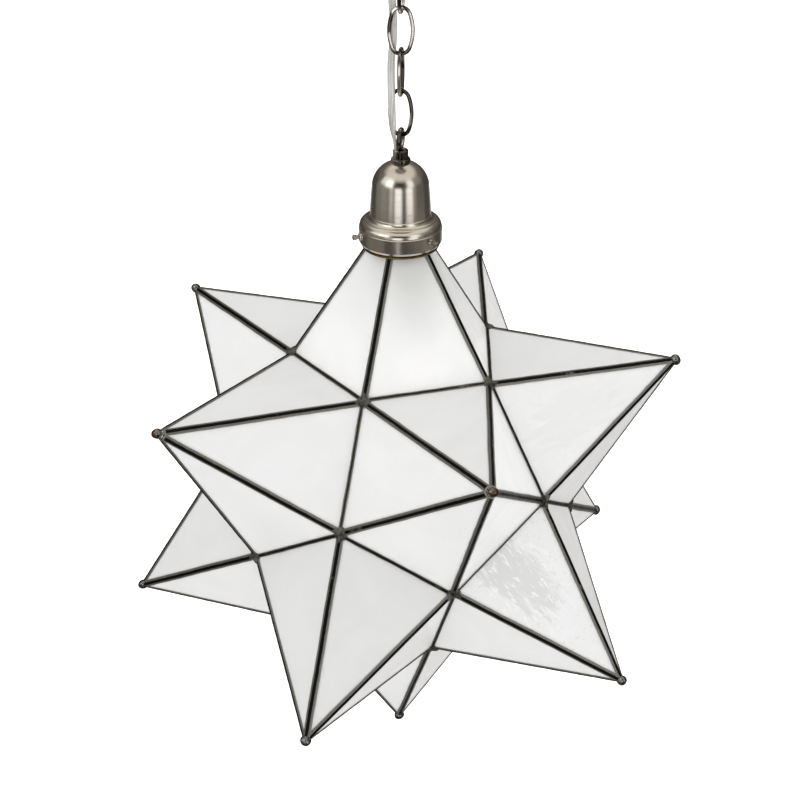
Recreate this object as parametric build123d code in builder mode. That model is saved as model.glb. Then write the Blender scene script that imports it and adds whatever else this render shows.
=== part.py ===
from build123d import *
from itertools import combinations
from math import acos, atan2, cos, degrees, pi, radians, sin, sqrt, tan
import os

os.makedirs("parts", exist_ok=True)

# A moravian star pendant lamp, in mm. The origin is the centre of the ceiling face, +Z is up and the lamp
# hangs below it. The camera side of the lamp is -Y.

# ---- Driving dimensions ------------------------------------------------------------------------------

# Star shade
tip_radius = 255.0  # star centre to the point of a spike
valley_radius = 146.9  # star centre to a corner where three spikes meet
star_turn = -0.74  # the first upper spike's turn from +X, degrees
glass_thickness = 3.0
ridge_strip = 3.5  # solder on each face beside a ridge
ridge_inset = 2.2  # glass edge to the ridge line
ridge_crown = 0.5  # bead above the ridge line
ridge_round_reach = 1.5  # half width of the bead's rounded top
ridge_round_drop = 0.5
valley_strip = 1.9  # solder on each face beside a valley
valley_inset = 0.6  # glass edge to the valley line
valley_crown = 1.3
solder_edge = 0.3  # the strip's thickness at its edge
solder_depth = 1.6  # solder between the glass edges
tip_bead_radius = 4.8
tip_bead_inset = 2.8  # bead centre below the point of the spike
tip_bead_gap = 0.2  # bead to the clipped glass points
joint_radius = 5.2  # solder joint where ridges and valleys meet
joint_height = 2.4  # its crown above the corner
joint_rim = 1.1  # height of its rim above the corner
joint_depth = 4.0  # and its root below it
joint_slope = 58  # degrees
joint_sides = 12
joint_gap = 0.2  # solder joint to the clipped glass corner

# Neck ring
neck_plate_thickness = 1.2
neck_plate_bore = 20.0  # radius
neck_plate_radius = 30.6
neck_overhang = 3.83  # plate edge beyond the ridge lines where the top spike is cut
neck_tube_radius = 28.4
neck_wall = 1.0
neck_tube_height = 15.3
neck_lip_reach = 1.3  # rolled lip round the tube's top, which the thumb screws hold under
neck_lip_height = 2.0

# Shade holder
cup_height = 66.4
cup_wall = 1.0
lip_gap = 1.9  # cup lip above the neck plate
dome_flat_radius = 7.3
dome_shoulder_radius = 22.4
dome_shoulder_drop = 17.0
crown_bulge = 3.3  # height of the arc over its chord, as for the other bulges
crown_inner_bulge = 2.5
dome_foot_radius = 24.2
dome_foot_drop = 42.2
dome_bulge = 0.2
flare_radius = 28.2
flare_drop = 46.6
flare_bulge = 1.0
band_radius = 33.1
band_top_drop = 53.6
shoulder_bulge = 1.2
band_foot_drop = 64.4
lip_radius = 31.9
groove = 0.5
boss_radius = 2.9
boss_reach = 1.2  # boss face beyond the band
screw_drop = 58.8  # thumb screw axis below the top of the cup
screw_turn = -42.0
screw_count = 3

# Thumb screw
screw_radius = 1.5
screw_fit = 0.08  # radial clearance in the boss
screw_tip_gap = 0.3  # tip to the neck tube at rest
screw_head_radius = 2.2
screw_head_length = 3.0
screw_head_chamfer = 0.6
screw_head_gap = 3.5  # band to the head

# Loop fitting, one on the canopy and one on the cup
loop_flange_radius = 7.8
loop_flange_height = 3.6
loop_collar_radius = 6.05
loop_collar_height = 6.8
loop_wire_radius = 1.9
loop_ring_radius = 7.1  # centre of the wire
loop_sink = 0.55  # the ring's foot in the collar
loop_edge = 0.8  # rounding of the flange and chamfer of the collar
loop_turn = -12.0  # the holder loop's turn about Z
thread_radius = 4.9  # lamp thread
nipple_bore = 3.4
loop_thread_depth = 8.0
wire_way_offset = 3.7  # wire way beside the ring
thread_fit = 0.05

# Chain link: an oval of four arcs
link_wire_radius = 1.6
link_half_width = 8.9  # centre of the wire
link_half_height = 17.85
link_end_radius = 7.0
link_butt_gap = 0.5
link_turns = (-10.0, 0.0, -9.0, -20.0)  # link 1 to 4, about Z
hang_gap = 0.3  # wire to wire where a link hangs

# Ceiling end
canopy_radius = 63.5
canopy_depth = 26.4
canopy_wall = 1.2
canopy_step_radius = 52.0
canopy_step_drop = 7.0
canopy_step_fall = 1.5
canopy_floor_radius = 15.6
canopy_bowl_bulge = 5.2
crossbar_end = 4.55  # metal beyond each slot
crossbar_width = 19.0
crossbar_thickness = 2.0
crossbar_spacing = 88.9  # slot to slot
crossbar_slot_radius = 2.4
crossbar_slot_length = 12.0
lock_nut_flat = 14.3  # across flats
lock_nut_height = 3.2
nut_seat_radius = 8.8  # flat for the nut under the cup's crown

# Lamp socket and lamp
holder_nipple_length = 25.0
socket_cap_radius = 18.0
socket_cap_height = 12.0
socket_cap_skirt = 5.4
socket_cap_wall = 1.0
socket_drop = 3.0  # hub below the lock nut
socket_hub_radius = 7.2
socket_hub_height = 6.0
socket_body_radius = 17.6
socket_body_length = 33.0
socket_body_chamfer = 1.0
socket_floor = 6.0
terminal_offset = 5.0  # lamp axis to each lead's hole
shell_radius = 13.9
shell_wall = 0.5
shell_length = 26.0
contact_length = 16.0
contact_width = 5.0
contact_thickness = 0.6
button_radius = 3.0
button_height = 1.6
button_slope = 20  # degrees
lead_radius = 1.2
lead_fit = 0.3
lead_offset = 1.6  # lamp axis to each lead in the nipple
lead_bend = 2.4
lead_tail = 2.0  # lead left below the loop's wire way and above the body
lamp_base_radius = 13.0
lamp_base_length = 22.0
lamp_base_wall = 0.4
lamp_contact_radius = 4.0
lamp_contact_height = 3.0
lamp_collar_radius = 7.5
lamp_shoulder = 1.5  # the base's shoulder below its contact
lamp_radius = 16.0
lamp_length = 140.0
lamp_wall = 1.0
lamp_neck_fit = 0.1  # glass neck in the base
lamp_neck_sink = 6.0
lamp_swell = 8.0  # length of the taper from neck to tube
lamp_neck_reach = 1.0  # neck left below the base
seat_gap = 0.3

# Lamp cord
cord_width = 5.8
cord_thickness = 2.6
cord_corner = 1.25
cord_slot_fit = 0.2
cord_seat = 0.1  # cord end to the nipple in the wire way
bend_share = 0.45  # of the shorter run beside a bend
twist_sections = 10
twist_lead = 1.25  # the twist ends this much before the cord does

cut_margin = 0.5  # how far a cut runs past its face

# ---- Heights that follow from the sizes --------------------------------------------------------------

loop_height = loop_flange_height + loop_collar_height
ring_rise = loop_height + loop_ring_radius + loop_wire_radius - loop_sink
wire_step = loop_wire_radius + link_wire_radius + hang_gap
link_step = 2 * link_half_height - 2 * link_wire_radius - hang_gap

canopy_ring_z = -canopy_depth - ring_rise
link_1_z = canopy_ring_z - loop_ring_radius + wire_step - link_half_height
link_zs = [link_1_z - link_step * number for number in range(len(link_turns))]
holder_ring_z = link_zs[-1] - link_half_height + wire_step - loop_ring_radius
cup_top_z = holder_ring_z - ring_rise
lip_z = cup_top_z - cup_height
plate_z = lip_z - lip_gap - neck_plate_thickness
# A valley corner stands this far from its spike's axis and this high along it. The top spike is cut where its
# ridge lines come in to the neck plate.
corner_lean = degrees(acos(sqrt((5 + 2 * sqrt(5)) / 15)))
corner_spread = valley_radius * sin(radians(corner_lean))
corner_height = valley_radius * cos(radians(corner_lean))
ridge_pull = (tip_radius - corner_height) / corner_spread
cut_height = tip_radius - (neck_plate_radius - neck_overhang) * ridge_pull
star_z = plate_z - cut_height
print("link centres", [round(z, 2) for z in link_zs], "cup top", round(cup_top_z, 2))
print("cut plane", round(plate_z, 2), "cut height", round(cut_height, 2), "star centre", round(star_z, 2))

# ---- Star geometry -----------------------------------------------------------------------------------

# The twelve spikes point at the corners of an icosahedron, whose ten slanting ones stand at this latitude.
ring_latitude = degrees(atan2(1, 2))
neighbour_cosine = 1 / sqrt(5)
cosine_tolerance = 0.01


def direction(turn, latitude):
    """A unit vector at a turn about Z and a latitude, in degrees."""
    flat = cos(radians(latitude))
    return Vector(cos(radians(turn)) * flat, sin(radians(turn)) * flat, sin(radians(latitude)))


spikes = {"top": Vector(0, 0, 1)}
for number in range(5):
    spikes[f"upper_{number + 1}"] = direction(star_turn + 72 * number, ring_latitude)
for number in range(5):
    spikes[f"lower_{number + 1}"] = direction(star_turn + 36 + 72 * number, -ring_latitude)
spikes["bottom"] = Vector(0, 0, -1)


def are_neighbours(first, second):
    return abs(spikes[first].dot(spikes[second]) - neighbour_cosine) < cosine_tolerance


star_centre = Vector(0, 0, star_z)
valleys = {}
for trio in combinations(spikes, 3):
    if all(are_neighbours(a, b) for a, b in combinations(trio, 2)):
        total = spikes[trio[0]] + spikes[trio[1]] + spikes[trio[2]]
        valleys[frozenset(trio)] = star_centre + total.normalized() * valley_radius


def corners_of(spike):
    """The five valley corners round a spike, in turn about its axis."""
    axis = spikes[spike]
    around = Plane(origin=star_centre, z_dir=axis)

    def bearing(point):
        local = around.to_local_coords(point)
        return atan2(local.Y, local.X)

    return sorted([point for trio, point in valleys.items() if spike in trio], key=bearing)


# One panel and one ridge stand for all of them: base, side and slant of a spike's triangular face.
sample = corners_of("bottom")
sample_tip = star_centre + spikes["bottom"] * tip_radius
base_length = (sample[1] - sample[0]).length
side_length = (sample_tip - sample[0]).length
slant_length = sqrt(side_length**2 - (base_length / 2) ** 2)
print("panel base", round(base_length, 1), "side", round(side_length, 1), "slant", round(slant_length, 1))


def face_normal(tip, first, second):
    """The outward normal of a spike's face."""
    normal = (second - first).cross(tip - first).normalized()
    return normal if normal.dot(tip - star_centre) > 0 else normal * -1


ridge_half_angle = 90 - 0.5 * degrees(
    acos(face_normal(sample_tip, sample[0], sample[1]).dot(face_normal(sample_tip, sample[1], sample[2])))
)
sample_edge = [trio for trio in valleys if "bottom" in trio and "lower_1" in trio]
sample_pair = [valleys[trio] for trio in sample_edge]
lower_tip = star_centre + spikes["lower_1"] * tip_radius
valley_half_angle = 90 - 0.5 * degrees(
    acos(face_normal(sample_tip, *sample_pair).dot(face_normal(lower_tip, *sample_pair)))
)
print("ridge half angle", round(ridge_half_angle, 2), "valley half angle", round(valley_half_angle, 2))


def panel_outline(cut=None):
    """The corners of a glass panel, with the middle of the spike's base edge at 0, 0 and the tip up +Y.

    The edges are set in from the ridges and the valley, and both lower corners are clipped round the solder
    joints. A cut height along the slant makes the short panels of the top spike.
    """
    half = base_length / 2
    clip = joint_radius / cos(atan2(slant_length, half) / 2) + joint_gap
    along = Vector(-half / side_length, slant_length / side_length)
    inward = Vector(-slant_length / side_length, -half / side_length)
    side_point = Vector(half, 0) + along * clip + inward * ridge_inset
    if cut is None:
        top = [(0, slant_length - ridge_inset * side_length / half)]
    else:
        reach = (cut - side_point.Y) / along.Y
        top = [(side_point.X + along.X * reach, cut), (-side_point.X - along.X * reach, cut)]
    right = [(half - clip, valley_inset), (side_point.X, side_point.Y)]
    left = [(-x, y) for x, y in reversed(right)]
    return right + top + left


def ridge_outline():
    """A ridge bead's section: x across the ridge, y outwards, 0, 0 on the ridge line."""
    along_x = sin(radians(ridge_half_angle))
    along_y = -cos(radians(ridge_half_angle))
    out_x = -along_y
    out_y = along_x
    right = [
        (ridge_round_reach, ridge_crown - ridge_round_drop),
        (ridge_strip * along_x + solder_edge * out_x, ridge_strip * along_y + solder_edge * out_y),
        (ridge_strip * along_x, ridge_strip * along_y),
        (ridge_inset * along_x, ridge_inset * along_y),
        (
            ridge_inset * along_x - solder_depth * out_x,
            ridge_inset * along_y - solder_depth * out_y,
        ),
    ]
    left = [(-x, y) for x, y in reversed(right)]
    return [(0, ridge_crown)] + right + left


def valley_outline():
    """A valley bead's section: x across the valley, y outwards, 0, 0 on the valley line."""
    along_x = sin(radians(valley_half_angle))
    along_y = cos(radians(valley_half_angle))
    out_x = -along_y
    out_y = along_x
    right = [
        (valley_strip * along_x + solder_edge * out_x, valley_strip * along_y + solder_edge * out_y),
        (valley_strip * along_x, valley_strip * along_y),
        (valley_inset * along_x, valley_inset * along_y),
        (
            valley_inset * along_x - solder_depth * out_x,
            valley_inset * along_y - solder_depth * out_y,
        ),
    ]
    left = [(-x, y) for x, y in reversed(right)]
    return [(0, valley_crown)] + right + left


# ---- Ceiling end -------------------------------------------------------------------------------------

crossbar_length = crossbar_spacing + crossbar_slot_length + 2 * crossbar_end
with BuildPart() as crossbar:
    with BuildSketch():
        SlotOverall(crossbar_length, crossbar_width)
        with Locations((crossbar_spacing / 2, 0), (-crossbar_spacing / 2, 0)):
            SlotOverall(crossbar_slot_length, 2 * crossbar_slot_radius, mode=Mode.SUBTRACT)
        Circle(thread_radius + thread_fit, mode=Mode.SUBTRACT)
    extrude(amount=-crossbar_thickness)
crossbar.part.label = "crossbar"
export_step(crossbar.part, "parts/crossbar.step")

step_foot_z = -canopy_step_drop - canopy_step_fall
with BuildPart() as canopy:
    with BuildSketch(Plane.XZ):
        with BuildLine():
            rim = Line((canopy_radius - canopy_wall, 0), (canopy_radius, 0))
            band = Line(rim @ 1, (canopy_radius, -canopy_step_drop))
            step = Line(band @ 1, (canopy_step_radius, step_foot_z))
            bowl = SagittaArc(step @ 1, (canopy_floor_radius, -canopy_depth), canopy_bowl_bulge)
            floor = Line(bowl @ 1, (thread_radius + thread_fit, -canopy_depth))
            hole = Line(floor @ 1, (thread_radius + thread_fit, -canopy_depth + canopy_wall))
            inner_floor = Line(hole @ 1, (canopy_floor_radius, -canopy_depth + canopy_wall))
            inner_bowl = SagittaArc(
                inner_floor @ 1,
                (canopy_step_radius - canopy_wall, step_foot_z + canopy_wall),
                -canopy_bowl_bulge,
            )
            inner_step = Line(inner_bowl @ 1, (canopy_radius - canopy_wall, -canopy_step_drop + canopy_wall))
            Line(inner_step @ 1, rim @ 0)
        make_face()
    revolve(axis=Axis.Z)
canopy.part.label = "canopy"
export_step(canopy.part, "parts/canopy.step")


def lock_nut(top_z):
    """A hexagon nut on the lamp thread, hanging down from a height."""
    with BuildPart() as nut:
        with BuildSketch(Plane.XY.offset(top_z - lock_nut_height)):
            RegularPolygon(lock_nut_flat / 2, 6, major_radius=False)
            Circle(thread_radius + thread_fit, mode=Mode.SUBTRACT)
        extrude(amount=lock_nut_height)
    return nut


def nipple(foot_z, top_z):
    """A threaded tube between two heights."""
    with BuildPart() as tube:
        with BuildSketch(Plane.XY.offset(foot_z)):
            Circle(thread_radius)
            Circle(nipple_bore, mode=Mode.SUBTRACT)
        extrude(amount=top_z - foot_z)
    return tube


def loop_fitting(base_z, upward, turn):
    """A screw loop: flange, threaded collar with a wire way beside the ring, and the ring itself."""
    sign = 1 if upward else -1
    base = Plane(origin=(0, 0, base_z), x_dir=direction(turn, 0), z_dir=(0, 0, sign))
    with BuildPart() as fitting:
        with BuildSketch(Plane(origin=base.origin, x_dir=base.x_dir, z_dir=-base.y_dir)):
            with BuildLine():
                foot = Line((0, 0), (loop_flange_radius - loop_edge, 0))
                bead = SagittaArc(
                    foot @ 1, (loop_flange_radius - loop_edge, loop_flange_height), -loop_edge
                )
                shoulder = Line(bead @ 1, (loop_collar_radius, loop_flange_height))
                side = Line(shoulder @ 1, (loop_collar_radius, loop_height - loop_edge))
                chamfered = Line(side @ 1, (loop_collar_radius - loop_edge, loop_height))
                top = Line(chamfered @ 1, (0, loop_height))
                Line(top @ 1, foot @ 0)
            make_face()
        revolve(axis=Axis(base.origin, base.z_dir))
        ring_centre = base.origin + base.z_dir * ring_rise
        wire_centre = ring_centre + base.x_dir * loop_ring_radius
        with BuildSketch(Plane(origin=wire_centre, x_dir=base.x_dir, z_dir=base.z_dir)):
            Circle(loop_wire_radius)
        revolve(axis=Axis(ring_centre, base.y_dir))
        with BuildSketch(base):
            Circle(thread_radius + thread_fit)
        extrude(amount=loop_thread_depth, mode=Mode.SUBTRACT)
        way = base.origin + base.y_dir * wire_way_offset + base.z_dir * (loop_thread_depth - cut_margin)
        with BuildSketch(Plane(origin=way, x_dir=base.x_dir, z_dir=base.z_dir)):
            RectangleRounded(
                cord_width + 2 * cord_slot_fit,
                cord_thickness + 2 * cord_slot_fit,
                cord_corner + cord_slot_fit,
            )
        extrude(amount=loop_height - loop_thread_depth + 2 * cut_margin, mode=Mode.SUBTRACT)
    return fitting


canopy_loop = loop_fitting(-canopy_depth, False, 180.0)
canopy_loop.part.label = "canopy_loop"
export_step(canopy_loop.part, "parts/canopy_loop.step")

canopy_nipple = nipple(-canopy_depth - loop_thread_depth + seat_gap, 0)
canopy_nipple.part.label = "canopy_nipple"
export_step(canopy_nipple.part, "parts/canopy_nipple.step")

canopy_nut = lock_nut(-crossbar_thickness)
canopy_nut.part.label = "canopy_nut"
export_step(canopy_nut.part, "parts/canopy_nut.step")

# ---- Chain -------------------------------------------------------------------------------------------

# The oval's side arcs meet its end arcs on one tangent, which fixes their radius.
link_rise = link_half_height - link_end_radius
link_side_radius = (link_half_width**2 + link_rise**2 - link_end_radius**2) / (
    2 * (link_half_width - link_end_radius)
)
link_side_angle = degrees(atan2(link_rise, link_side_radius - link_half_width))

for number, (centre_z, turn) in enumerate(zip(link_zs, link_turns), 1):
    # Odd links stand edge-on to the camera and even ones face it.
    facing = turn + (90 if number % 2 else 0)
    link_plane = Plane(origin=(0, 0, centre_z), x_dir=direction(facing, 0), z_dir=direction(facing - 90, 0))
    with BuildPart() as link:
        with BuildLine(link_plane):
            side_centre = link_side_radius - link_half_width
            right_side = CenterArc((-side_centre, 0), link_side_radius, -link_side_angle, 2 * link_side_angle)
            top_bow = CenterArc((0, link_rise), link_end_radius, link_side_angle, 180 - 2 * link_side_angle)
            left_side = CenterArc(
                (side_centre, 0), link_side_radius, 180 - link_side_angle, 2 * link_side_angle
            )
            CenterArc((0, -link_rise), link_end_radius, 180 + link_side_angle, 180 - 2 * link_side_angle)
        with BuildSketch(Plane(origin=right_side @ 0, z_dir=right_side % 0)):
            Circle(link_wire_radius)
        sweep()
        with BuildSketch(link_plane.offset(-2 * link_wire_radius)):
            with Locations((-link_half_width, 0)):
                Rectangle(4 * link_wire_radius, link_butt_gap)
        extrude(amount=4 * link_wire_radius, mode=Mode.SUBTRACT)
    link.part.label = f"link_{number}"
    export_step(link.part, f"parts/link_{number}.step")

# ---- Lamp cord ---------------------------------------------------------------------------------------

# The cord leaves the canopy loop behind its ring, runs behind link 2, crosses beside link 3 to the front of
# link 4 and goes into the wire way at the left of the holder loop. Its heights are counted from link 1.
way_turn = direction(loop_turn + 180, 0)
cord_end_z = cup_top_z + loop_thread_depth + cord_seat
cord_route = [
    Vector(0, wire_way_offset, -canopy_depth - loop_thread_depth - cord_seat),
    Vector(0, wire_way_offset, -39.0),
    Vector(-3.8, 3.9, -46.0),
    Vector(-7.2, 4.1, -58.5),
    Vector(-7.0, 4.1, -74.5),
    Vector(-5.6, 3.9, -90.5),
    Vector(-5.7, 3.8, -107.0),
    Vector(-7.4, 2.6, -122.5),
    Vector(-7.4, -0.8, -139.0),
    Vector(-6.9, -2.5, -155.5),
    Vector(-6.5, -2.7, -170.0),
    Vector(-5.7, -2.3, -180.5),
    Vector(-3.8, 0.6, -189.8),
    Vector(way_turn.X * wire_way_offset, way_turn.Y * wire_way_offset, cord_end_z),
]
# The cord turns its flat side by this much on its way down from link 4, to lie along the holder loop's ring.
cord_twist = -90.0 + loop_turn
cord_cuts = link_zs  # where one stretch of the cord ends and the next begins


def bend_radii(route):
    """The largest radius that each corner's two runs allow."""
    radii = []
    for before, corner, after in zip(route, route[1:], route[2:]):
        half_turn = radians((corner - before).get_angle(after - corner)) / 2
        shorter = min((corner - before).length, (after - corner).length)
        radii.append(bend_share * shorter / tan(half_turn))
    return radii


print("cord bend radii", [round(radius, 1) for radius in bend_radii(cord_route)])
print("cord runs", [round((b - a).length, 1) for a, b in zip(cord_route, cord_route[1:])])


def at_height(route, height):
    """The point of the route at a height."""
    for upper, lower in zip(route, route[1:]):
        if upper.Z >= height >= lower.Z:
            return upper + (lower - upper) * ((upper.Z - height) / (upper.Z - lower.Z))


all_radii = bend_radii(cord_route)
cord_ends = [cord_route[0].Z] + cord_cuts + [cord_route[-1].Z]
for number, (start_z, end_z) in enumerate(zip(cord_ends, cord_ends[1:]), 1):
    corners = [index for index, point in enumerate(cord_route) if end_z < point.Z < start_z]
    points = [at_height(cord_route, start_z)] + [cord_route[index] for index in corners]
    points.append(at_height(cord_route, end_z))
    radii = [all_radii[index - 1] for index in corners]
    last = number == len(cord_cuts) + 1
    with BuildPart() as cord:
        with BuildLine() as path:
            FilletPolyline(*points, radius=radii)
        if last:
            # Sections along the way, each turned a little further
            for step_number in range(twist_sections + 1):
                share = step_number / twist_sections
                tangent = path.wire() % share
                across = Vector(1, 0, 0).rotate(Axis.Z, cord_twist * min(1, share * twist_lead))
                with BuildSketch(Plane(origin=path.wire() @ share, x_dir=across, z_dir=tangent)):
                    RectangleRounded(cord_width, cord_thickness, cord_corner)
            loft(ruled=True)
        else:
            with BuildSketch(Plane(origin=points[0], x_dir=(1, 0, 0), z_dir=path.wire() % 0)):
                RectangleRounded(cord_width, cord_thickness, cord_corner)
            sweep(path=path.wire())
    area = cord_width * cord_thickness - (4 - pi) * cord_corner**2
    measured = round(cord.part.volume / area, 2)
    print(f"cord_{number}", measured, "long,", round(path.wire().length, 2), "on its line")
    cord.part.label = f"cord_{number}"
    export_step(cord.part, f"parts/cord_{number}.step")

# ---- Shade holder ------------------------------------------------------------------------------------

holder_loop = loop_fitting(cup_top_z, True, loop_turn + 90)
holder_loop.part.label = "holder_loop"
export_step(holder_loop.part, "parts/holder_loop.step")


with BuildPart() as holder_cup:
    with BuildSketch(Plane.XZ):
        with BuildLine():
            bore = Line(
                (thread_radius + thread_fit, cup_top_z - cup_wall),
                (thread_radius + thread_fit, cup_top_z),
            )
            top = Line(bore @ 1, (dome_flat_radius, cup_top_z))
            crown = SagittaArc(
                top @ 1, (dome_shoulder_radius, cup_top_z - dome_shoulder_drop), crown_bulge
            )
            dome = SagittaArc(crown @ 1, (dome_foot_radius, cup_top_z - dome_foot_drop), dome_bulge)
            ledge = Line(dome @ 1, (dome_foot_radius + groove, cup_top_z - dome_foot_drop - groove))
            flare = SagittaArc(ledge @ 1, (flare_radius, cup_top_z - flare_drop), -flare_bulge)
            step = Line(flare @ 1, (flare_radius + groove, cup_top_z - flare_drop - groove))
            shoulder = SagittaArc(
                step @ 1, (band_radius - groove, cup_top_z - band_top_drop + groove), shoulder_bulge
            )
            band_top = Line(shoulder @ 1, (band_radius, cup_top_z - band_top_drop))
            band = Line(band_top @ 1, (band_radius, cup_top_z - band_foot_drop))
            lip = Line(band @ 1, (lip_radius, lip_z))
            lip_face = Line(lip @ 1, (lip_radius - cup_wall, lip_z))
            inner_band_radius = band_radius - cup_wall
            inner_foot_radius = dome_foot_radius - cup_wall
            inner_lip = Line(lip_face @ 1, (inner_band_radius, cup_top_z - band_foot_drop))
            inner_band = Line(inner_lip @ 1, (inner_band_radius, cup_top_z - band_top_drop))
            inner_shoulder = Line(
                inner_band @ 1, (flare_radius - cup_wall, cup_top_z - flare_drop - cup_wall)
            )
            inner_flare = Line(inner_shoulder @ 1, (inner_foot_radius, cup_top_z - flare_drop + cup_wall))
            inner_foot = Line(inner_flare @ 1, (inner_foot_radius, cup_top_z - dome_foot_drop))
            inner_dome = SagittaArc(
                inner_foot @ 1,
                (dome_shoulder_radius - cup_wall, cup_top_z - dome_shoulder_drop),
                -dome_bulge,
            )
            inner_crown = SagittaArc(
                inner_dome @ 1, (nut_seat_radius, cup_top_z - cup_wall), -crown_inner_bulge
            )
            Line(inner_crown @ 1, bore @ 0)
        make_face()
    revolve(axis=Axis.Z)
    for number in range(screw_count):
        outward = direction(screw_turn + 360 / screw_count * number, 0)
        boss_foot = Vector(0, 0, cup_top_z - screw_drop) + outward * (band_radius - cup_wall)
        with BuildSketch(Plane(origin=boss_foot, z_dir=outward)):
            Circle(boss_radius)
        extrude(amount=cup_wall + boss_reach)
        with BuildSketch(Plane(origin=boss_foot - outward * cup_wall, z_dir=outward)):
            Circle(screw_radius + screw_fit)
        extrude(amount=3 * cup_wall + boss_reach, mode=Mode.SUBTRACT)
holder_cup.part.label = "holder_cup"
export_step(holder_cup.part, "parts/holder_cup.step")

for number in range(screw_count):
    outward = direction(screw_turn + 360 / screw_count * number, 0)
    axis_point = Vector(0, 0, cup_top_z - screw_drop)
    tip_reach = neck_tube_radius + screw_tip_gap
    head_foot = band_radius + screw_head_gap
    with BuildPart() as thumb_screw:
        with BuildSketch(Plane(origin=axis_point + outward * tip_reach, z_dir=outward)):
            Circle(screw_radius)
        extrude(amount=head_foot - tip_reach)
        with BuildSketch(Plane(origin=axis_point + outward * head_foot, z_dir=outward)):
            Circle(screw_head_radius)
        extrude(amount=screw_head_length)
        head_end = thumb_screw.faces().sort_by(Axis(axis_point, outward))[-1]
        chamfer(head_end.edges(), screw_head_chamfer)
    thumb_screw.part.label = f"thumb_screw_{number + 1}"
    export_step(thumb_screw.part, f"parts/thumb_screw_{number + 1}.step")

nipple_top_z = cup_top_z + loop_thread_depth - seat_gap
nipple_foot_z = nipple_top_z - holder_nipple_length
holder_nipple = nipple(nipple_foot_z, nipple_top_z)
holder_nipple.part.label = "holder_nipple"
export_step(holder_nipple.part, "parts/holder_nipple.step")

holder_nut = lock_nut(cup_top_z - cup_wall)
holder_nut.part.label = "holder_nut"
export_step(holder_nut.part, "parts/holder_nut.step")

# ---- Lamp socket -------------------------------------------------------------------------------------

hub_top_z = cup_top_z - cup_wall - lock_nut_height - socket_drop
hub_foot_z = hub_top_z - socket_hub_height
cap_foot_z = hub_foot_z - socket_cap_height
with BuildPart() as socket_cap:
    with BuildSketch(Plane.XZ):
        with BuildLine():
            Polyline(
                (thread_radius + thread_fit, hub_top_z),
                (socket_hub_radius, hub_top_z),
                (socket_hub_radius, hub_foot_z),
                (socket_cap_radius, cap_foot_z + socket_cap_skirt),
                (socket_cap_radius, cap_foot_z),
                (socket_cap_radius - socket_cap_wall, cap_foot_z),
                (socket_cap_radius - socket_cap_wall, cap_foot_z + socket_cap_skirt - socket_cap_wall),
                (socket_hub_radius, hub_foot_z - socket_cap_wall),
                (thread_radius + thread_fit, hub_foot_z - socket_cap_wall),
                close=True,
            )
        make_face()
    revolve(axis=Axis.Z)
socket_cap.part.label = "socket_cap"
export_step(socket_cap.part, "parts/socket_cap.step")

body_foot_z = cap_foot_z - socket_body_length
floor_z = cap_foot_z - socket_floor
with BuildPart() as socket_body:
    with BuildSketch(Plane.XY.offset(body_foot_z)):
        Circle(socket_body_radius)
    extrude(amount=socket_body_length)
    with BuildSketch(Plane.XY.offset(body_foot_z)):
        Circle(shell_radius + seat_gap)
    extrude(amount=floor_z - body_foot_z, mode=Mode.SUBTRACT)
    with BuildSketch(Plane.XY.offset(floor_z)):
        with Locations((terminal_offset, 0), (-terminal_offset, 0)):
            Circle(lead_radius + lead_fit)
    extrude(amount=socket_floor + cut_margin, mode=Mode.SUBTRACT)
    foot_face = socket_body.faces().sort_by(Axis.Z)[0]
    chamfer(foot_face.outer_wire().edges(), socket_body_chamfer)
socket_body.part.label = "socket_body"
export_step(socket_body.part, "parts/socket_body.step")

with BuildPart() as screw_shell:
    with BuildSketch(Plane.XY.offset(floor_z - seat_gap - shell_length)):
        Circle(shell_radius)
        Circle(shell_radius - shell_wall, mode=Mode.SUBTRACT)
    extrude(amount=shell_length)
screw_shell.part.label = "screw_shell"
export_step(screw_shell.part, "parts/screw_shell.step")

with BuildPart() as centre_contact:
    with BuildSketch(Plane.XY.offset(floor_z - contact_thickness)):
        SlotOverall(contact_length, contact_width)
    extrude(amount=contact_thickness)
    with BuildSketch(Plane.XY.offset(floor_z - contact_thickness)):
        Circle(button_radius)
    extrude(amount=-button_height, taper=button_slope)
centre_contact.part.label = "centre_contact"
export_step(centre_contact.part, "parts/centre_contact.step")

with BuildPart() as socket_leads:
    for side in (1, -1):
        with BuildLine() as lead_path:
            FilletPolyline(
                (side * lead_offset, 0, cup_top_z + loop_thread_depth - lead_tail),
                (side * lead_offset, 0, nipple_foot_z - lead_tail),
                (side * terminal_offset, 0, cap_foot_z + lead_tail),
                (side * terminal_offset, 0, floor_z + seat_gap),
                radius=lead_bend,
            )
        with BuildSketch(Plane(origin=lead_path.wire() @ 0, z_dir=lead_path.wire() % 0)):
            Circle(lead_radius)
        sweep(path=lead_path.wire())
socket_leads.part.label = "socket_leads"
export_step(socket_leads.part, "parts/socket_leads.step")

# ---- Lamp --------------------------------------------------------------------------------------------

lamp_top_z = floor_z - contact_thickness - button_height - seat_gap
collar_z = lamp_top_z - lamp_contact_height
base_foot_z = collar_z - lamp_base_length
with BuildPart() as lamp_base:
    with BuildSketch(Plane.XZ):
        with BuildLine():
            Polyline(
                (0, lamp_top_z),
                (lamp_contact_radius, lamp_top_z),
                (lamp_collar_radius, collar_z),
                (lamp_base_radius, collar_z - lamp_shoulder),
                (lamp_base_radius, base_foot_z),
                (lamp_base_radius - lamp_base_wall, base_foot_z),
                (lamp_base_radius - lamp_base_wall, collar_z - lamp_shoulder - lamp_base_wall),
                (0, collar_z - lamp_shoulder - lamp_base_wall),
                close=True,
            )
        make_face()
    revolve(axis=Axis.Z)
lamp_base.part.label = "lamp_base"
export_step(lamp_base.part, "parts/lamp_base.step")

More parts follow.
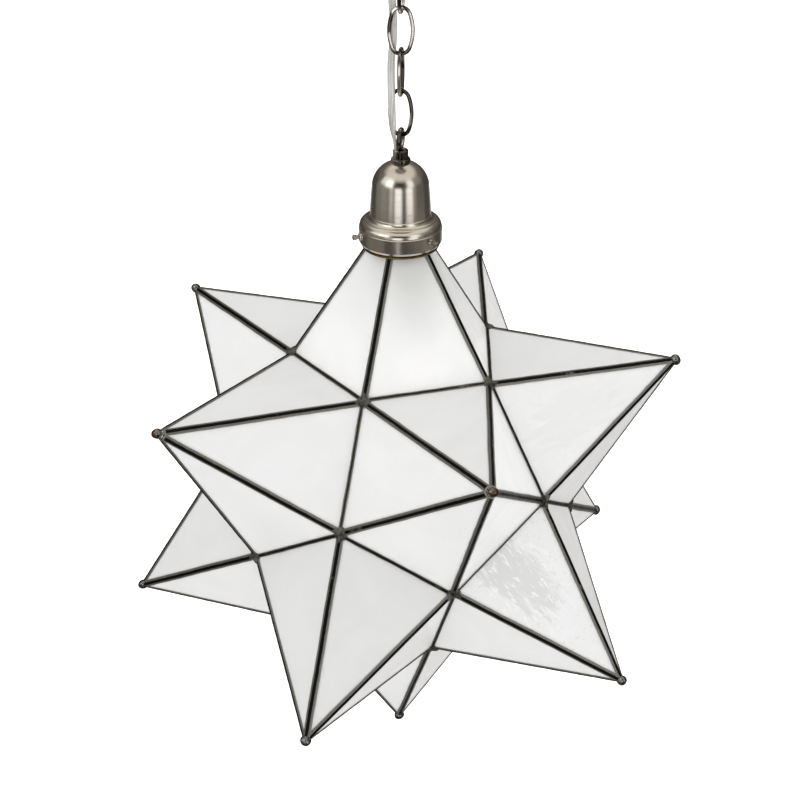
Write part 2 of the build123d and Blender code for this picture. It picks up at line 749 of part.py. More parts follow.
lamp_foot_z = lamp_top_z - lamp_length
neck_top_z = base_foot_z + lamp_neck_sink
neck_foot_z = base_foot_z - lamp_neck_reach
tube_top_z = neck_foot_z - lamp_swell
neck_radius = lamp_base_radius - lamp_base_wall - lamp_neck_fit
neck_bore = neck_radius - lamp_wall
lamp_bore = lamp_radius - lamp_wall
dome_z = lamp_foot_z + lamp_radius
with BuildPart() as lamp_glass:
    with BuildSketch(Plane.XZ):
        with BuildLine():
            neck = Line((neck_bore, neck_top_z), (neck_radius, neck_top_z))
            throat = Line(neck @ 1, (neck_radius, neck_foot_z))
            swell = Line(throat @ 1, (lamp_radius, tube_top_z))
            wall = Line(swell @ 1, (lamp_radius, dome_z))
            end = RadiusArc(wall @ 1, (0, lamp_foot_z), lamp_radius)
            foot = Line(end @ 1, (0, lamp_foot_z + lamp_wall))
            inner_end = RadiusArc(foot @ 1, (lamp_bore, dome_z), -lamp_bore)
            inner_wall = Line(inner_end @ 1, (lamp_bore, tube_top_z))
            inner_swell = Line(inner_wall @ 1, (neck_bore, neck_foot_z))
            Line(inner_swell @ 1, neck @ 0)
        make_face()
    revolve(axis=Axis.Z)
lamp_glass.part.label = "lamp_glass"
export_step(lamp_glass.part, "parts/lamp_glass.step")

# ---- Neck ring ---------------------------------------------------------------------------------------

with BuildPart() as neck_ring:
    with BuildSketch(Plane.XY.offset(plate_z)):
        Circle(neck_plate_radius)
        Circle(neck_plate_bore, mode=Mode.SUBTRACT)
    extrude(amount=neck_plate_thickness)
    with BuildSketch(Plane.XY.offset(plate_z)):
        Circle(neck_tube_radius)
        Circle(neck_tube_radius - neck_wall, mode=Mode.SUBTRACT)
    extrude(amount=neck_plate_thickness + neck_tube_height)
    lip_centre_z = plate_z + neck_plate_thickness + neck_tube_height - neck_lip_height / 2
    with BuildSketch(Plane.XZ):
        with Locations((neck_tube_radius, lip_centre_z)):
            Ellipse(neck_lip_reach, neck_lip_height / 2)
    revolve(axis=Axis.Z)
    with BuildSketch(Plane.XY.offset(plate_z + neck_plate_thickness)):
        Circle(neck_tube_radius - neck_wall)
    extrude(amount=neck_tube_height, mode=Mode.SUBTRACT)
neck_ring.part.label = "neck_ring"
export_step(neck_ring.part, "parts/neck_ring.step")

# ---- Star: solder joints, glass, ridges and valleys --------------------------------------------------

with BuildPart() as solder_joint:
    with BuildSketch(Plane.XY.offset(-joint_depth)):
        RegularPolygon(joint_radius, joint_sides)
    extrude(amount=joint_depth + joint_rim)
    with BuildSketch(Plane.XY.offset(joint_rim)):
        RegularPolygon(joint_radius, joint_sides)
    extrude(amount=joint_height - joint_rim, taper=joint_slope)


def joint_plane(corner, centre, axis):
    """Where a solder joint sits: outwards from the centre, turned towards a spike beside it."""
    outward = (corner - centre).normalized()
    return Plane(origin=corner, x_dir=axis - outward * axis.dot(outward), z_dir=outward)


# One spike is made round +Z, with its centre at the origin, and stands for all of them.
spike_corners = [direction(72 * number, 90 - corner_lean) * valley_radius for number in range(5)]
spike_tip = Vector(0, 0, tip_radius)
bead_centre = Vector(0, 0, tip_radius - tip_bead_inset)
spike_joints = [joint_plane(corner, Vector(0, 0, 0), Vector(0, 0, 1)) for corner in spike_corners]


def spike_glass(cut=None):
    """The five glass panels of a spike, cut short at a height if one is given."""
    with BuildPart() as glass:
        for first, second in zip(spike_corners, spike_corners[1:] + spike_corners[:1]):
            middle = (first + second) / 2
            normal = (second - first).cross(spike_tip - first)
            slant_cut = None if cut is None else (cut - middle.Z) / (tip_radius - middle.Z) * slant_length
            with BuildSketch(Plane(origin=middle, x_dir=second - first, z_dir=normal)):
                with BuildLine():
                    Polyline(*panel_outline(slant_cut), close=True)
                make_face()
            extrude(amount=-glass_thickness)
        if cut is None:
            with Locations(bead_centre):
                Sphere(tip_bead_radius + tip_bead_gap, mode=Mode.SUBTRACT)
    return glass


def spike_ridges(cut=None):
    """The five soldered ridges of a spike, with their bead at the tip or cut off at a height."""
    with BuildPart() as ridges:
        for corner in spike_corners:
            along = (spike_tip - corner).normalized()
            from_axis = Vector(corner.X, corner.Y, 0)
            outward = (from_axis - along * from_axis.dot(along)).normalized()
            with BuildSketch(Plane(origin=corner, x_dir=outward.cross(along), z_dir=along)):
                with BuildLine():
                    Polyline(*ridge_outline(), close=True)
                make_face()
            extrude(amount=side_length)
        if cut is None:
            with Locations(bead_centre):
                Sphere(tip_bead_radius)
        else:
            with BuildSketch(Plane.XY.offset(cut)):
                Circle(tip_radius)
            extrude(amount=tip_radius, mode=Mode.SUBTRACT)
        with Locations(*spike_joints):
            add(solder_joint.part, mode=Mode.SUBTRACT)
    return ridges


whole_glass = spike_glass()
short_glass = spike_glass(cut_height - seat_gap)
whole_ridges = spike_ridges()
short_ridges = spike_ridges(cut_height)

for name, axis in spikes.items():
    to_corner = corners_of(name)[0] - star_centre
    place = Plane(origin=star_centre, x_dir=to_corner - axis * to_corner.dot(axis), z_dir=axis)
    with BuildPart() as glass:
        with Locations(place):
            add(short_glass.part if name == "top" else whole_glass.part)
    glass.part.label = f"glass_{name}"
    export_step(glass.part, f"parts/glass_{name}.step")
    with BuildPart() as ridges:
        with Locations(place):
            add(short_ridges.part if name == "top" else whole_ridges.part)
    ridges.part.label = f"ridges_{name}"
    export_step(ridges.part, f"parts/ridges_{name}.step")

joint_planes = {}
for trio, corner in valleys.items():
    joint_planes[tuple(corner)] = joint_plane(corner, star_centre, spikes[sorted(trio)[0]])
with BuildPart() as valley_joints:
    with Locations(*joint_planes.values()):
        add(solder_joint.part)
valley_joints.part.label = "valley_joints"
export_step(valley_joints.part, "parts/valley_joints.step")

# A valley runs between two neighbouring spikes, from one corner to the next.
valley_groups = {"upper": [], "middle": [], "lower": []}
for first, second in combinations(spikes, 2):
    if are_neighbours(first, second):
        ends = [point for trio, point in valleys.items() if first in trio and second in trio]
        level = round(min(1, max(-1, (spikes[first] + spikes[second]).Z)))
        valley_groups[{1: "upper", 0: "middle", -1: "lower"}[level]].append(ends)

for group, edges in valley_groups.items():
    with BuildPart() as valley_seams:
        for start, end in edges:
            along = (end - start).normalized()
            outward = ((start + end) / 2 - star_centre).normalized()
            with BuildSketch(Plane(origin=start, x_dir=outward.cross(along), z_dir=along)):
                with BuildLine():
                    Polyline(*valley_outline(), close=True)
                make_face()
            extrude(amount=base_length)
        with Locations(*[joint_planes[corner] for corner in {tuple(p) for edge in edges for p in edge}]):
            add(solder_joint.part, mode=Mode.SUBTRACT)
    valley_seams.part.label = f"valleys_{group}"
    export_step(valley_seams.part, f"parts/valleys_{group}.step")
    print(f"valleys_{group}", len(valley_seams.part.solids()), "seams")
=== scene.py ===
# %% [markdown]
# # A moravian star pendant
#
# Twelve five-sided spikes of white glass, joined by dark soldered seams, hang on a chain under a nickel
# shade holder. The solid parts come packed as a frame that already has the right sizes and joints. This file
# gives them their finish, and makes the hand-made parts again in more detail: every seam, every solder drop
# and the lamp cord.

# %% Load the frame
from itertools import combinations

import bpy
import numpy as np
from mathutils import Matrix, Vector


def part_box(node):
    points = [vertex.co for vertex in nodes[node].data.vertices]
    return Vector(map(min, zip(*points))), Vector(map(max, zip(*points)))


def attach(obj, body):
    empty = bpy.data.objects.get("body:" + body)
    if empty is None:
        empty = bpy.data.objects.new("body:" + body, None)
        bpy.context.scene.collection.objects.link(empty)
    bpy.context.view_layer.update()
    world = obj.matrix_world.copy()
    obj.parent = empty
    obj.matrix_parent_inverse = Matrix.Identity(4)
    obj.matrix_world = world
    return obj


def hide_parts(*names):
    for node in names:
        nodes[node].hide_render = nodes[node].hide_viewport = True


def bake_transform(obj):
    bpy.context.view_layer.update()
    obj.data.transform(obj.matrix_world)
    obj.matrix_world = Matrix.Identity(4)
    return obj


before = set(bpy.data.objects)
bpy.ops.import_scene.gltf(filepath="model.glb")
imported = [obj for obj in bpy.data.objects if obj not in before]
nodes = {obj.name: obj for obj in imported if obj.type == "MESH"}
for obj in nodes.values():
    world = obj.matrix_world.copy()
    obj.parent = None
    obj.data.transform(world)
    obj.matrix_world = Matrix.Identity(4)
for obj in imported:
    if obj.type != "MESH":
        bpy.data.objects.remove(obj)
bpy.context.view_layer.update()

# %% [markdown]
# ## The camera
#
# The photograph was taken from the front and above. The star's corners fix the view: when the camera stands
# at the place below, the spikes and valleys fall where the photograph shows them. The camera looks down by
# the pitch and leans by the small roll. Its own axes are worked out first, because they make its matrix.

# %% Place the camera
CAMERA_PLACE = (0.0, -1.3564, 0.3086)
CAMERA_PITCH = -28.008  # degrees, down is negative
CAMERA_ROLL = 0.146
CAMERA_LENS = 83.19  # mm, on a 36 mm sensor


def in_scene(name, data):
    """A new object in the scene."""
    piece = bpy.data.objects.new(name, data)
    bpy.context.scene.collection.objects.link(piece)
    return piece


def make_camera():
    """A camera from its place, pitch and roll: its axes are right, up and backwards."""
    pitch = np.radians(CAMERA_PITCH)
    roll = np.radians(CAMERA_ROLL)
    forward = np.array([0.0, np.cos(pitch), np.sin(pitch)])
    level = np.array([1.0, 0.0, 0.0])
    above = np.cross(level, forward)
    right = np.cos(roll) * level + np.sin(roll) * above
    up = np.cos(roll) * above - np.sin(roll) * level
    data = bpy.data.cameras.new("camera")
    data.sensor_width = 36
    data.lens = CAMERA_LENS
    camera = in_scene("camera", data)
    turned = Matrix(np.column_stack([right, up, -forward]).tolist()).to_4x4()
    camera.matrix_world = Matrix.Translation(CAMERA_PLACE) @ turned
    bpy.context.scene.camera = camera
    return camera


camera = make_camera()
print("camera at", [round(value, 3) for value in camera.location], "looking down", -CAMERA_PITCH)

# %% [markdown]
# ## Meshes from arrays
#
# Every new piece is a grid of points worked out with numpy. One helper turns such a grid into faces, closed
# round one way and capped at its two ends. Islands of one piece are stacked before they become one mesh, and
# each point carries a number, "across", that the solder's and the cord's materials read.

# %% Grid helpers
def tube_faces(rows, columns):
    """Quads round a closed tube of rows by columns points, and one flat face at each end."""
    row = np.arange(rows - 1)[:, None] * columns
    column = np.arange(columns)[None, :]
    after = (column + 1) % columns
    quads = [row + column, row + after, row + columns + after, row + columns + column]
    faces = np.stack(quads, axis=-1).reshape(-1, 4).tolist()
    faces.append(list(range(columns))[::-1])
    faces.append(list(range((rows - 1) * columns, rows * columns)))
    return faces


def build(name, islands, sharp=40.0):
    """One mesh from islands of (points, faces, across). across is a number for each point, or one for all."""
    points, faces, numbers = [], [], []
    for grid, quads, across in islands:
        faces += [[index + len(points) for index in quad] for quad in quads]
        points += grid.reshape(-1, 3).tolist()
        numbers += np.broadcast_to(across, grid.shape[:-1]).ravel().tolist()
    mesh = bpy.data.meshes.new(name)
    mesh.from_pydata(points, [], faces)
    mesh.attributes.new("across", "FLOAT", "POINT").data.foreach_set("value", numbers)
    mesh.shade_smooth()
    mesh.set_sharp_from_angle(angle=np.radians(sharp))
    return in_scene(name, mesh)


def unit(vector):
    return vector / np.linalg.norm(vector)


def full_turn(columns):
    """Even steps round an axis, in radians, as one row."""
    return np.linspace(0, 2 * np.pi, columns, endpoint=False)[None, :]


def random_phases(seed, count):
    return np.random.default_rng(seed).uniform(0, 2 * np.pi, count)


print("a tube of 3 rows of 4 points has", len(tube_faces(3, 4)), "faces")

# %% [markdown]
# ## Materials from nodes
#
# All finishes are Principled shaders with a few nodes in front. One helper sets a node's inputs, and links
# those that come from another node. The others add a node of one kind, in the tree that the sockets given to
# them belong to, and give back its output.

# %% Node helpers
def new_material(name, colour, roughness, metallic=0.0):
    """A Principled material and its shader, with the plain numbers set on the shader itself."""
    material = bpy.data.materials.new(name)
    material.use_nodes = True
    shader = material.node_tree.nodes["Principled BSDF"]
    shader.inputs["Base Color"].default_value = (*colour, 1.0)
    shader.inputs["Roughness"].default_value = roughness
    shader.inputs["Metallic"].default_value = metallic
    return material, shader


def feed(node, inputs):
    """Sets a node's inputs. Each value is a plain one or another node's output socket."""
    for key, value in inputs.items():
        if isinstance(value, bpy.types.NodeSocket):
            node.id_data.links.new(value, node.inputs[key])
        else:
            node.inputs[key].default_value = value


def put(tree, kind, inputs=None, **settings):
    """Adds a node with its settings and inputs."""
    node = tree.nodes.new(kind)
    for key, value in settings.items():
        setattr(node, key, value)
    feed(node, inputs or {})
    return node


def tree_of(*values):
    """The node tree of the first socket among some values."""
    return next(value.id_data for value in values if isinstance(value, bpy.types.NodeSocket))


def calc(operation, *values):
    """A step of arithmetic on numbers."""
    return put(tree_of(*values), "ShaderNodeMath", dict(enumerate(values)), operation=operation).outputs[0]


def vector_calc(operation, *values):
    """A step of arithmetic on vectors. A distance, length or dot product comes back as a number."""
    node = put(tree_of(*values), "ShaderNodeVectorMath", dict(enumerate(values)), operation=operation)
    return node.outputs["Value" if operation in ("DISTANCE", "LENGTH", "DOT_PRODUCT") else "Vector"]


def object_place(material):
    return put(material.node_tree, "ShaderNodeTexCoord").outputs["Object"]


def parts_of(vector):
    """The X, Y and Z outputs of a vector."""
    return put(tree_of(vector), "ShaderNodeSeparateXYZ", {"Vector": vector}).outputs


def from_parts(x, y=0.0):
    return put(tree_of(x), "ShaderNodeCombineXYZ", {"X": x, "Y": y}).outputs["Vector"]


def mixed(share, first, second):
    """A colour mix of two colours or colour sockets."""
    node = put(tree_of(share), "ShaderNodeMix", {"Factor": share}, data_type="RGBA")
    for key, value in ((6, first), (7, second)):
        feed(node, {key: value if isinstance(value, bpy.types.NodeSocket) else (*value, 1.0)})
    return node.outputs[2]


def ramp(value, low, high, bottom=0.0, top=1.0):
    """Maps low..high of a value to bottom..top along a smooth step, held at both ends."""
    inputs = {"Value": value, "From Min": low, "From Max": high, "To Min": bottom, "To Max": top}
    node = put(tree_of(value), "ShaderNodeMapRange", inputs, interpolation_type="SMOOTHSTEP")
    return node.outputs["Result"]


def noise(where, scale, detail, roughness, distortion=0.0):
    inputs = {"Scale": scale, "Detail": detail, "Roughness": roughness, "Distortion": distortion}
    return put(tree_of(where), "ShaderNodeTexNoise", {"Vector": where, **inputs}).outputs["Fac"]


def bump(shader, height, strength, distance):
    inputs = {"Height": height, "Strength": strength, "Distance": distance}
    node = put(tree_of(height), "ShaderNodeBump", inputs)
    feed(shader, {"Normal": node.outputs["Normal"]})


print("node helpers: arithmetic, mixes, ramps, noise and bumps")

# %% [markdown]
# ## The lamp's light in the glass
#
# The lamp inside doesn't reach every sheet alike. The holder and the socket shade the glass at the neck.
# Sheets that lie level, and those that face up on the lower spikes, get less of the light than the rest. Both
# are painted into the glass's colour as shade, worked out from the place and the way the glass faces there.

# %% The lamp's shade and tone, painted into the glass
# painted shade: the grey of the glass beside the socket, where the lamp's light doesn't reach
NECK_SHADE_GREY = (0.62, 0.625, 0.6)  # glass right beside the socket
SOCKET_SHADE = (0.006, -0.018, 0.0)  # the shade falls most on the front panel to the right
WIDE_SHADE = (0.016, 0.042, 0.48)  # the distances from there, in metres, where it starts to fade and ends,
CLOSE_SHADE = (0.012, 0.021, 0.2)  # and its strength
NECK_HEIGHTS = (-0.46, -0.40)  # the shade begins at the first and is whole at the second
# painted shade, as factors on the glass's colour:
LEVEL_PAINTED_SHADE = 0.915  # a sheet that lies level, beside one that stands
LOW_PAINTED_SHADE = 0.87  # a sheet that faces up on a lower spike
MIDDLE_HEIGHTS = (-0.452, -0.477)  # where the lower spikes' upper sheets begin


def neck_shade(where):
    """How much of the lamp's light the holder and socket keep away: it fades with the distance from them."""
    parts = parts_of(where)
    flat = from_parts(parts["X"], parts["Y"])
    distance = vector_calc("DISTANCE", flat, SOCKET_SHADE)
    wide, close = (ramp(distance, *shade, 0.0) for shade in (WIDE_SHADE, CLOSE_SHADE))
    above = ramp(parts["Z"], *NECK_HEIGHTS)
    return calc("MULTIPLY", calc("ADD", wide, close), above)


def sheet_painted_shade(where):
    """Painted shade: the share of the lamp's light a sheet gets, from the way it faces and its height."""
    normal = put(tree_of(where), "ShaderNodeTexCoord").outputs["Normal"]
    facing = parts_of(normal)["Z"]
    level = ramp(facing, 0.6, 0.85, 1.0, LEVEL_PAINTED_SHADE)
    rising = ramp(facing, 0.1, 0.35)
    low = ramp(parts_of(where)["Z"], *MIDDLE_HEIGHTS, 0.0, LOW_PAINTED_SHADE - 1)
    return calc("MULTIPLY_ADD", rising, low, level)


print("tones: level sheets", LEVEL_PAINTED_SHADE, "and low sheets", LOW_PAINTED_SHADE)

# %% [markdown]
# ## The white glass
#
# Opal sheet glass is milky all through. Light from the room goes in and comes out again a little way off, and
# that is what subsurface scattering does. The skin is glossy and a little wavy, with faint wisps in the milk.

# %% White glass
MILK_DARK = (0.895, 0.894, 0.888)
MILK_LIGHT = (0.93, 0.929, 0.923)
MILK_DEPTH = 0.004  # how far light wanders in the glass, in metres
WISPS = (9.0, 4.0, 0.55, 1.4)  # scale, detail, roughness and distortion, as for each noise below
WAVES = (26.0, 2.0, 0.5, 0.3)


def white_glass(name):
    """Milky glass: wisps lighten and darken the colour, painted shade greys it at the neck and on some
    sheets, and waves bend the shine.

    Also returns what a streaky sheet adds to: the shader, the place, the colour with its painted shade, and
    the plain milk under it.
    """
    material, shader = new_material(name, MILK_LIGHT, 0.16)
    where = object_place(material)
    milk = mixed(ramp(noise(where, *WISPS), 0.35, 0.68), MILK_DARK, MILK_LIGHT)
    # painted shade: the glass greys towards the neck, where the holder and socket keep the lamp's light off
    colour = mixed(neck_shade(where), milk, NECK_SHADE_GREY)
    # painted shade: sheets that lie level, and upward ones low on the star, are made darker
    colour = vector_calc("MULTIPLY", colour, sheet_painted_shade(where))
    inputs = {
        "Base Color": colour,
        "Subsurface Weight": 1.0,
        "Subsurface Radius": (1.0, 1.0, 1.0),
        "Subsurface Scale": MILK_DEPTH,
        "IOR": 1.5,
        "Specular IOR Level": 0.16,
    }
    feed(shader, inputs)
    bump(shader, noise(where, *WAVES), 0.12, 0.004)
    return material, shader, where, colour, milk


def dress(name, material):
    """Gives a piece of the frame its finish."""
    for holder in nodes[name].material_slots:
        holder.material = material


glass_material = white_glass("white_opal_glass")[0]
glass_names = [name for name in nodes if name.startswith("glass_")]
for name in glass_names:
    dress(name, glass_material)
print("white glass on", len(glass_names), "spikes")

# %% [markdown]
# ## Where the star's corners are
#
# The spikes point at the twelve corners of an icosahedron: one up, one down and two rings of five at a
# latitude whose tangent is one half. Three neighbouring spikes meet in a valley corner. The sizes are those
# of the solid parts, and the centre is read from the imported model.

# %% Star layout
TIP_RADIUS = 0.255
TIP_BEAD = 0.0048
TIP_BEAD_INSET = 0.0028  # drop centre below the point where the ridges meet
VALLEY_RADIUS = 0.1469
STAR_TURN = -0.74  # degrees
RING_LATITUDE = np.degrees(np.arctan(0.5))
star_centre = np.array([0.0, 0.0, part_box("ridges_bottom")[0].z + TIP_RADIUS - TIP_BEAD_INSET + TIP_BEAD])
NEIGHBOUR_COSINE = 1 / np.sqrt(5)  # between two neighbouring spikes
cut_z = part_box("neck_ring")[0].z


def direction(turn, latitude):
    """A unit vector at a turn about Z and a latitude, in degrees."""
    turn, latitude = np.radians(turn), np.radians(latitude)
    return np.array([np.cos(turn) * np.cos(latitude), np.sin(turn) * np.cos(latitude), np.sin(latitude)])


spikes = {"top": np.array([0.0, 0.0, 1.0]), "bottom": np.array([0.0, 0.0, -1.0])}
for number in range(5):
    spikes[f"upper_{number + 1}"] = direction(STAR_TURN + 72 * number, RING_LATITUDE)
    spikes[f"lower_{number + 1}"] = direction(STAR_TURN + 36 + 72 * number, -RING_LATITUDE)


def are_neighbours(first, second):
    return abs(spikes[first] @ spikes[second] - NEIGHBOUR_COSINE) < 0.01


valleys = {}
for trio in combinations(spikes, 3):
    if all(are_neighbours(a, b) for a, b in combinations(trio, 2)):
        outward = unit(sum(spikes[name] for name in trio))
        valleys[frozenset(trio)] = star_centre + outward * VALLEY_RADIUS
print("star centre", star_centre.round(4), "valley corners", len(valleys))

# %% [markdown]
# ## Streaky sheets
#
# Rolled glass has streaks and seeds in places. A streaky sheet gets a frame of its own: how deep a place lies
# under the sheet, how far along the streaks and how far across them. Noise on the last two, slowed along the
# streaks, draws the flecks and breaks up the edge of a grey patch.

# %% Streaky glass
STREAK_STRETCH = 0.25  # streaks are this much slower along than across
FINE_STREAKS = (270.0, 4.0, 0.6, 0.4)
BROAD_STREAKS = (95.0, 5.0, 0.65, 0.8)
SEEDS = (420.0, 2.0, 0.5)
SKIN_DEPTHS = (-0.0016, -0.0008)  # how deep under the sheet's plane its own colour goes, in metres
PATCH_SQUASH = 0.55  # the patch is longer along the streaks
PATCH_BREAKUP = 3.2  # how far the broad streaks push the patch's edge out and in, in patch sizes
PATCH_EDGE = (2.3, 2.75)
FLECK_REACH = (1.1, 1.9)
FLECK_WHITE = (1.0, 1.0, 0.985)
SPECK_SHARE = 0.8


def streaky_glass(name, corners, streak_to, patch_at, patch_size, grey, flecks):
    """White glass with one streaky sheet: a greyer patch with flecks drawn out along the way it was rolled.

    The sheet is the plane of its three corners. patch_at is the middle of the grey patch, patch_size its
    half width in metres, and flecks how strong the white flecks in it are.
    """
    material, shader, where, colour, milk = white_glass(name)
    middle = sum(corners) / 3
    normal = unit(np.cross(corners[1] - corners[0], corners[2] - corners[0]))
    normal = normal * np.sign(normal @ (middle - star_centre))
    along = unit(streak_to - patch_at)
    offset = vector_calc("SUBTRACT", where, tuple(patch_at))
    axes = (normal, along, np.cross(normal, along))
    depth, length, width = (vector_calc("DOT_PRODUCT", offset, tuple(axis)) for axis in axes)
    place = from_parts(calc("MULTIPLY", length, STREAK_STRETCH), width)
    oval = from_parts(calc("MULTIPLY", length, PATCH_SQUASH), width)
    reach = vector_calc("LENGTH", oval)
    broad = noise(place, *BROAD_STREAKS)
    hazy = calc("MULTIPLY_ADD", broad, patch_size * PATCH_BREAKUP, reach)
    start, end = (patch_size * edge for edge in PATCH_EDGE)
    sheet = mixed(ramp(hazy, start, end, 1.0, 0.0), milk, grey)
    start, end = (patch_size * edge for edge in FLECK_REACH)
    near = ramp(reach, start, end, flecks, 0.0)
    fine = ramp(noise(place, *FINE_STREAKS), 0.55, 0.61)
    sheet = mixed(calc("MULTIPLY", near, fine), sheet, FLECK_WHITE)
    specks = ramp(noise(offset, *SEEDS), 0.37, 0.31, 0.0, SPECK_SHARE)
    sheet = mixed(specks, sheet, grey)
    on_sheet = ramp(depth, *SKIN_DEPTHS)
    feed(shader, {"Base Color": mixed(on_sheet, colour, sheet)})
    return material


print("streaks are drawn out", 1 / STREAK_STRETCH, "times")

# %% [markdown]
# ## Two sheets at the front
#
# Two sheets came from a streaky part of the glass: the one that faces the camera on the lower right spike,
# with a grey patch, and the one under the ridge of the right-hand spike, with a fainter one.

# %% Dress the two streaky sheets
PATCH_SIZE = 0.021  # half width in metres
LOW_GREY = (0.76, 0.76, 0.755)
SIDE_GREY = (0.87, 0.87, 0.865)
SIDE_FLECKS = 0.15


def tip_of(name):
    return star_centre + spikes[name] * TIP_RADIUS


def valley_of(*trio):
    return valleys[frozenset(trio)]


def weighted(points, weights):
    """A place in a triangle from the weight of each corner, or a direction where the weights add up to 0."""
    return sum(point * weight for point, weight in zip(points, weights))


right_valley = valley_of("upper_5", "upper_1", "lower_5")
sheet = [tip_of("lower_5"), valley_of("upper_5", "lower_4", "lower_5"), right_valley]
patch = weighted(sheet, (0.17, 0.46, 0.37))
low_streaks = streaky_glass("streaky_glass_low", sheet, sheet[0], patch, PATCH_SIZE, LOW_GREY, 1.0)
dress("glass_lower_5", low_streaks)
sheet = [tip_of("upper_1"), valley_of("top", "upper_5", "upper_1"), right_valley]
patch = sum(sheet) / 3
ray = patch + weighted(sheet, (1, -0.65, -0.35))
side_streaks = streaky_glass("streaky_glass_side", sheet, ray, patch, PATCH_SIZE, SIDE_GREY, SIDE_FLECKS)
dress("glass_upper_1", side_streaks)
print("streaky sheets:", low_streaks.name, "and", side_streaks.name)

# %% [markdown]
# ## Soldered seams
#
# A real seam is copper foil folded over both glass edges and flooded with solder, then blackened. On a ridge
# it shows as a flat grey strip on each face with a round black bead between. So a ridge seam starts as a
# section: a closed outline across the seam, with x along the width and y outwards.

# %% Ridge section
STRIP = 0.0035  # width of the strip on each face
STRIP_THICKNESS = 0.0003
STRIP_SWELL = 0.00015
BEAD_HALF = 0.0012  # half width of the black bead
CROWN = 0.0004  # bead above the ridge line
GLASS_INSET = 0.0022  # glass edge to the ridge line
RIDGE_HALF_ANGLE = 58.59  # degrees, between a face and the plane that halves the ridge
RIDGE_ROOT = 1.15  # depth of the root, in glass insets


def with_root(x, y, reach, fall, inset, depth):
    """Closes a section below: back under the glass to the inset on both sides, and down to the root."""
    under_x = np.column_stack([-reach[:, 0], np.full(len(reach), -inset)])
    under_y = np.abs(under_x) * fall
    middle = np.zeros((len(reach), 1))
    x = np.concatenate([x, under_x, middle, -under_x[:, ::-1]], axis=1)
    y = np.concatenate([y, under_y, middle - depth, under_y[:, ::-1]], axis=1)
    return x, y


def ridge_section(width, crown):
    """A closed outline for each row: strip, bead and strip, then the root between the glass edges.

    Across x, the faces fall away as x times the cotangent of the half angle. The strips lie on them and the
    bead is half an ellipse that stands from the strips to the crown.
    """
    slope = 1 / np.tan(np.radians(RIDGE_HALF_ANGLE))
    reach = (width * np.sin(np.radians(RIDGE_HALF_ANGLE)))[:, None]
    strip = np.linspace(1, 0, 5)[None, :-1]
    strip_x = BEAD_HALF + (reach - BEAD_HALF) * strip
    strip_y = STRIP_THICKNESS - strip_x * slope + STRIP_SWELL * np.sin(np.pi * strip)
    angle = np.linspace(0, np.pi / 2, 6)
    foot_y = STRIP_THICKNESS - BEAD_HALF * slope
    bead_x = np.broadcast_to(BEAD_HALF * np.cos(angle), (len(width), len(angle)))
    bead_y = foot_y + (crown[:, None] - foot_y) * np.sin(angle)
    right_x = np.concatenate([strip_x, bead_x], axis=1)
    right_y = np.concatenate([strip_y, bead_y], axis=1)
    x = np.concatenate([right_x, -right_x[:, -2::-1]], axis=1)
    y = np.concatenate([right_y, right_y[:, -2::-1]], axis=1)
    inset = GLASS_INSET * np.sin(np.radians(RIDGE_HALF_ANGLE))
    return with_root(x, y, reach, -slope, inset, GLASS_INSET * RIDGE_ROOT)


print("the ridge strip is", STRIP * 1000, "mm wide on each side")

# %% [markdown]
# ## Valley sections
#
# A valley seam lies in a corner between two faces that rise beside it, so its section is a low arch that
# touches both. It is narrower than a ridge seam, and one colour more or less all over.

# %% Valley section
VALLEY_HALF_ANGLE = 59.27
VALLEY_STRIP = 0.0019
VALLEY_CROWN = 0.0009
VALLEY_INSET = 0.0006
VALLEY_LIFT = 0.0004  # stands the arch on the glass, above the crown
VALLEY_ROOT = 2.0  # depth of the root, in insets
VALLEY_ARCH = 0.7  # power of the arch's curve, between a parabola's 1 and an ellipse's 0.5


def valley_section(width, crown):
    """A closed outline for each row of a valley: a low arch between the two faces, which rise beside it."""
    slope = 1 / np.tan(np.radians(VALLEY_HALF_ANGLE))
    reach = (width * np.sin(np.radians(VALLEY_HALF_ANGLE)))[:, None]
    share = np.cos(np.linspace(0, np.pi, 11))[None, :]
    top_x = reach * share
    edge_y = reach * slope + STRIP_THICKNESS
    top_y = edge_y + (crown[:, None] + VALLEY_LIFT - edge_y) * (1 - share**2) ** VALLEY_ARCH
    inset = VALLEY_INSET * np.sin(np.radians(VALLEY_HALF_ANGLE))
    return with_root(top_x, top_y, reach, slope, inset, VALLEY_INSET * VALLEY_ROOT)


print("the valley strip is", VALLEY_STRIP * 1000, "mm wide on each side")

# %% [markdown]
# ## A section carried along a line
#
# Nobody solders a straight line: the strip's edge wanders and the bead swells and thins. So the section is
# carried along the seam row by row, with its width, crown and place changed by a wobble made of a few sines.

# %% Carry a section
CORNER_GAP = 0.0035  # from a valley corner to the first row of a seam
TIP_GAP = 0.001  # from the last row of a ridge seam to the tip
NECK_GAP = 0.0006  # from the last row to the cut at the neck
WIDTH_WAVES = [(0.017, 0.00007), (0.052, 0.00005), (0.14, 0.00003)]  # waves per millimetre, metres
CROWN_WAVES = [(0.045, 0.00005), (0.12, 0.00004), (0.23, 0.00003)]
DRIFT_WAVES = [(0.012, 0.00009), (0.05, 0.00004)]


def wobble(places, seed, waves):
    """A smooth hand-made unevenness: a few sines of random phase, as (waves per unit, height) pairs."""
    total = np.zeros_like(places)
    for phase, (rate, height) in zip(random_phases(seed, len(waves)), waves):
        total = total + height * np.sin(2 * np.pi * rate * places + phase)
    return total


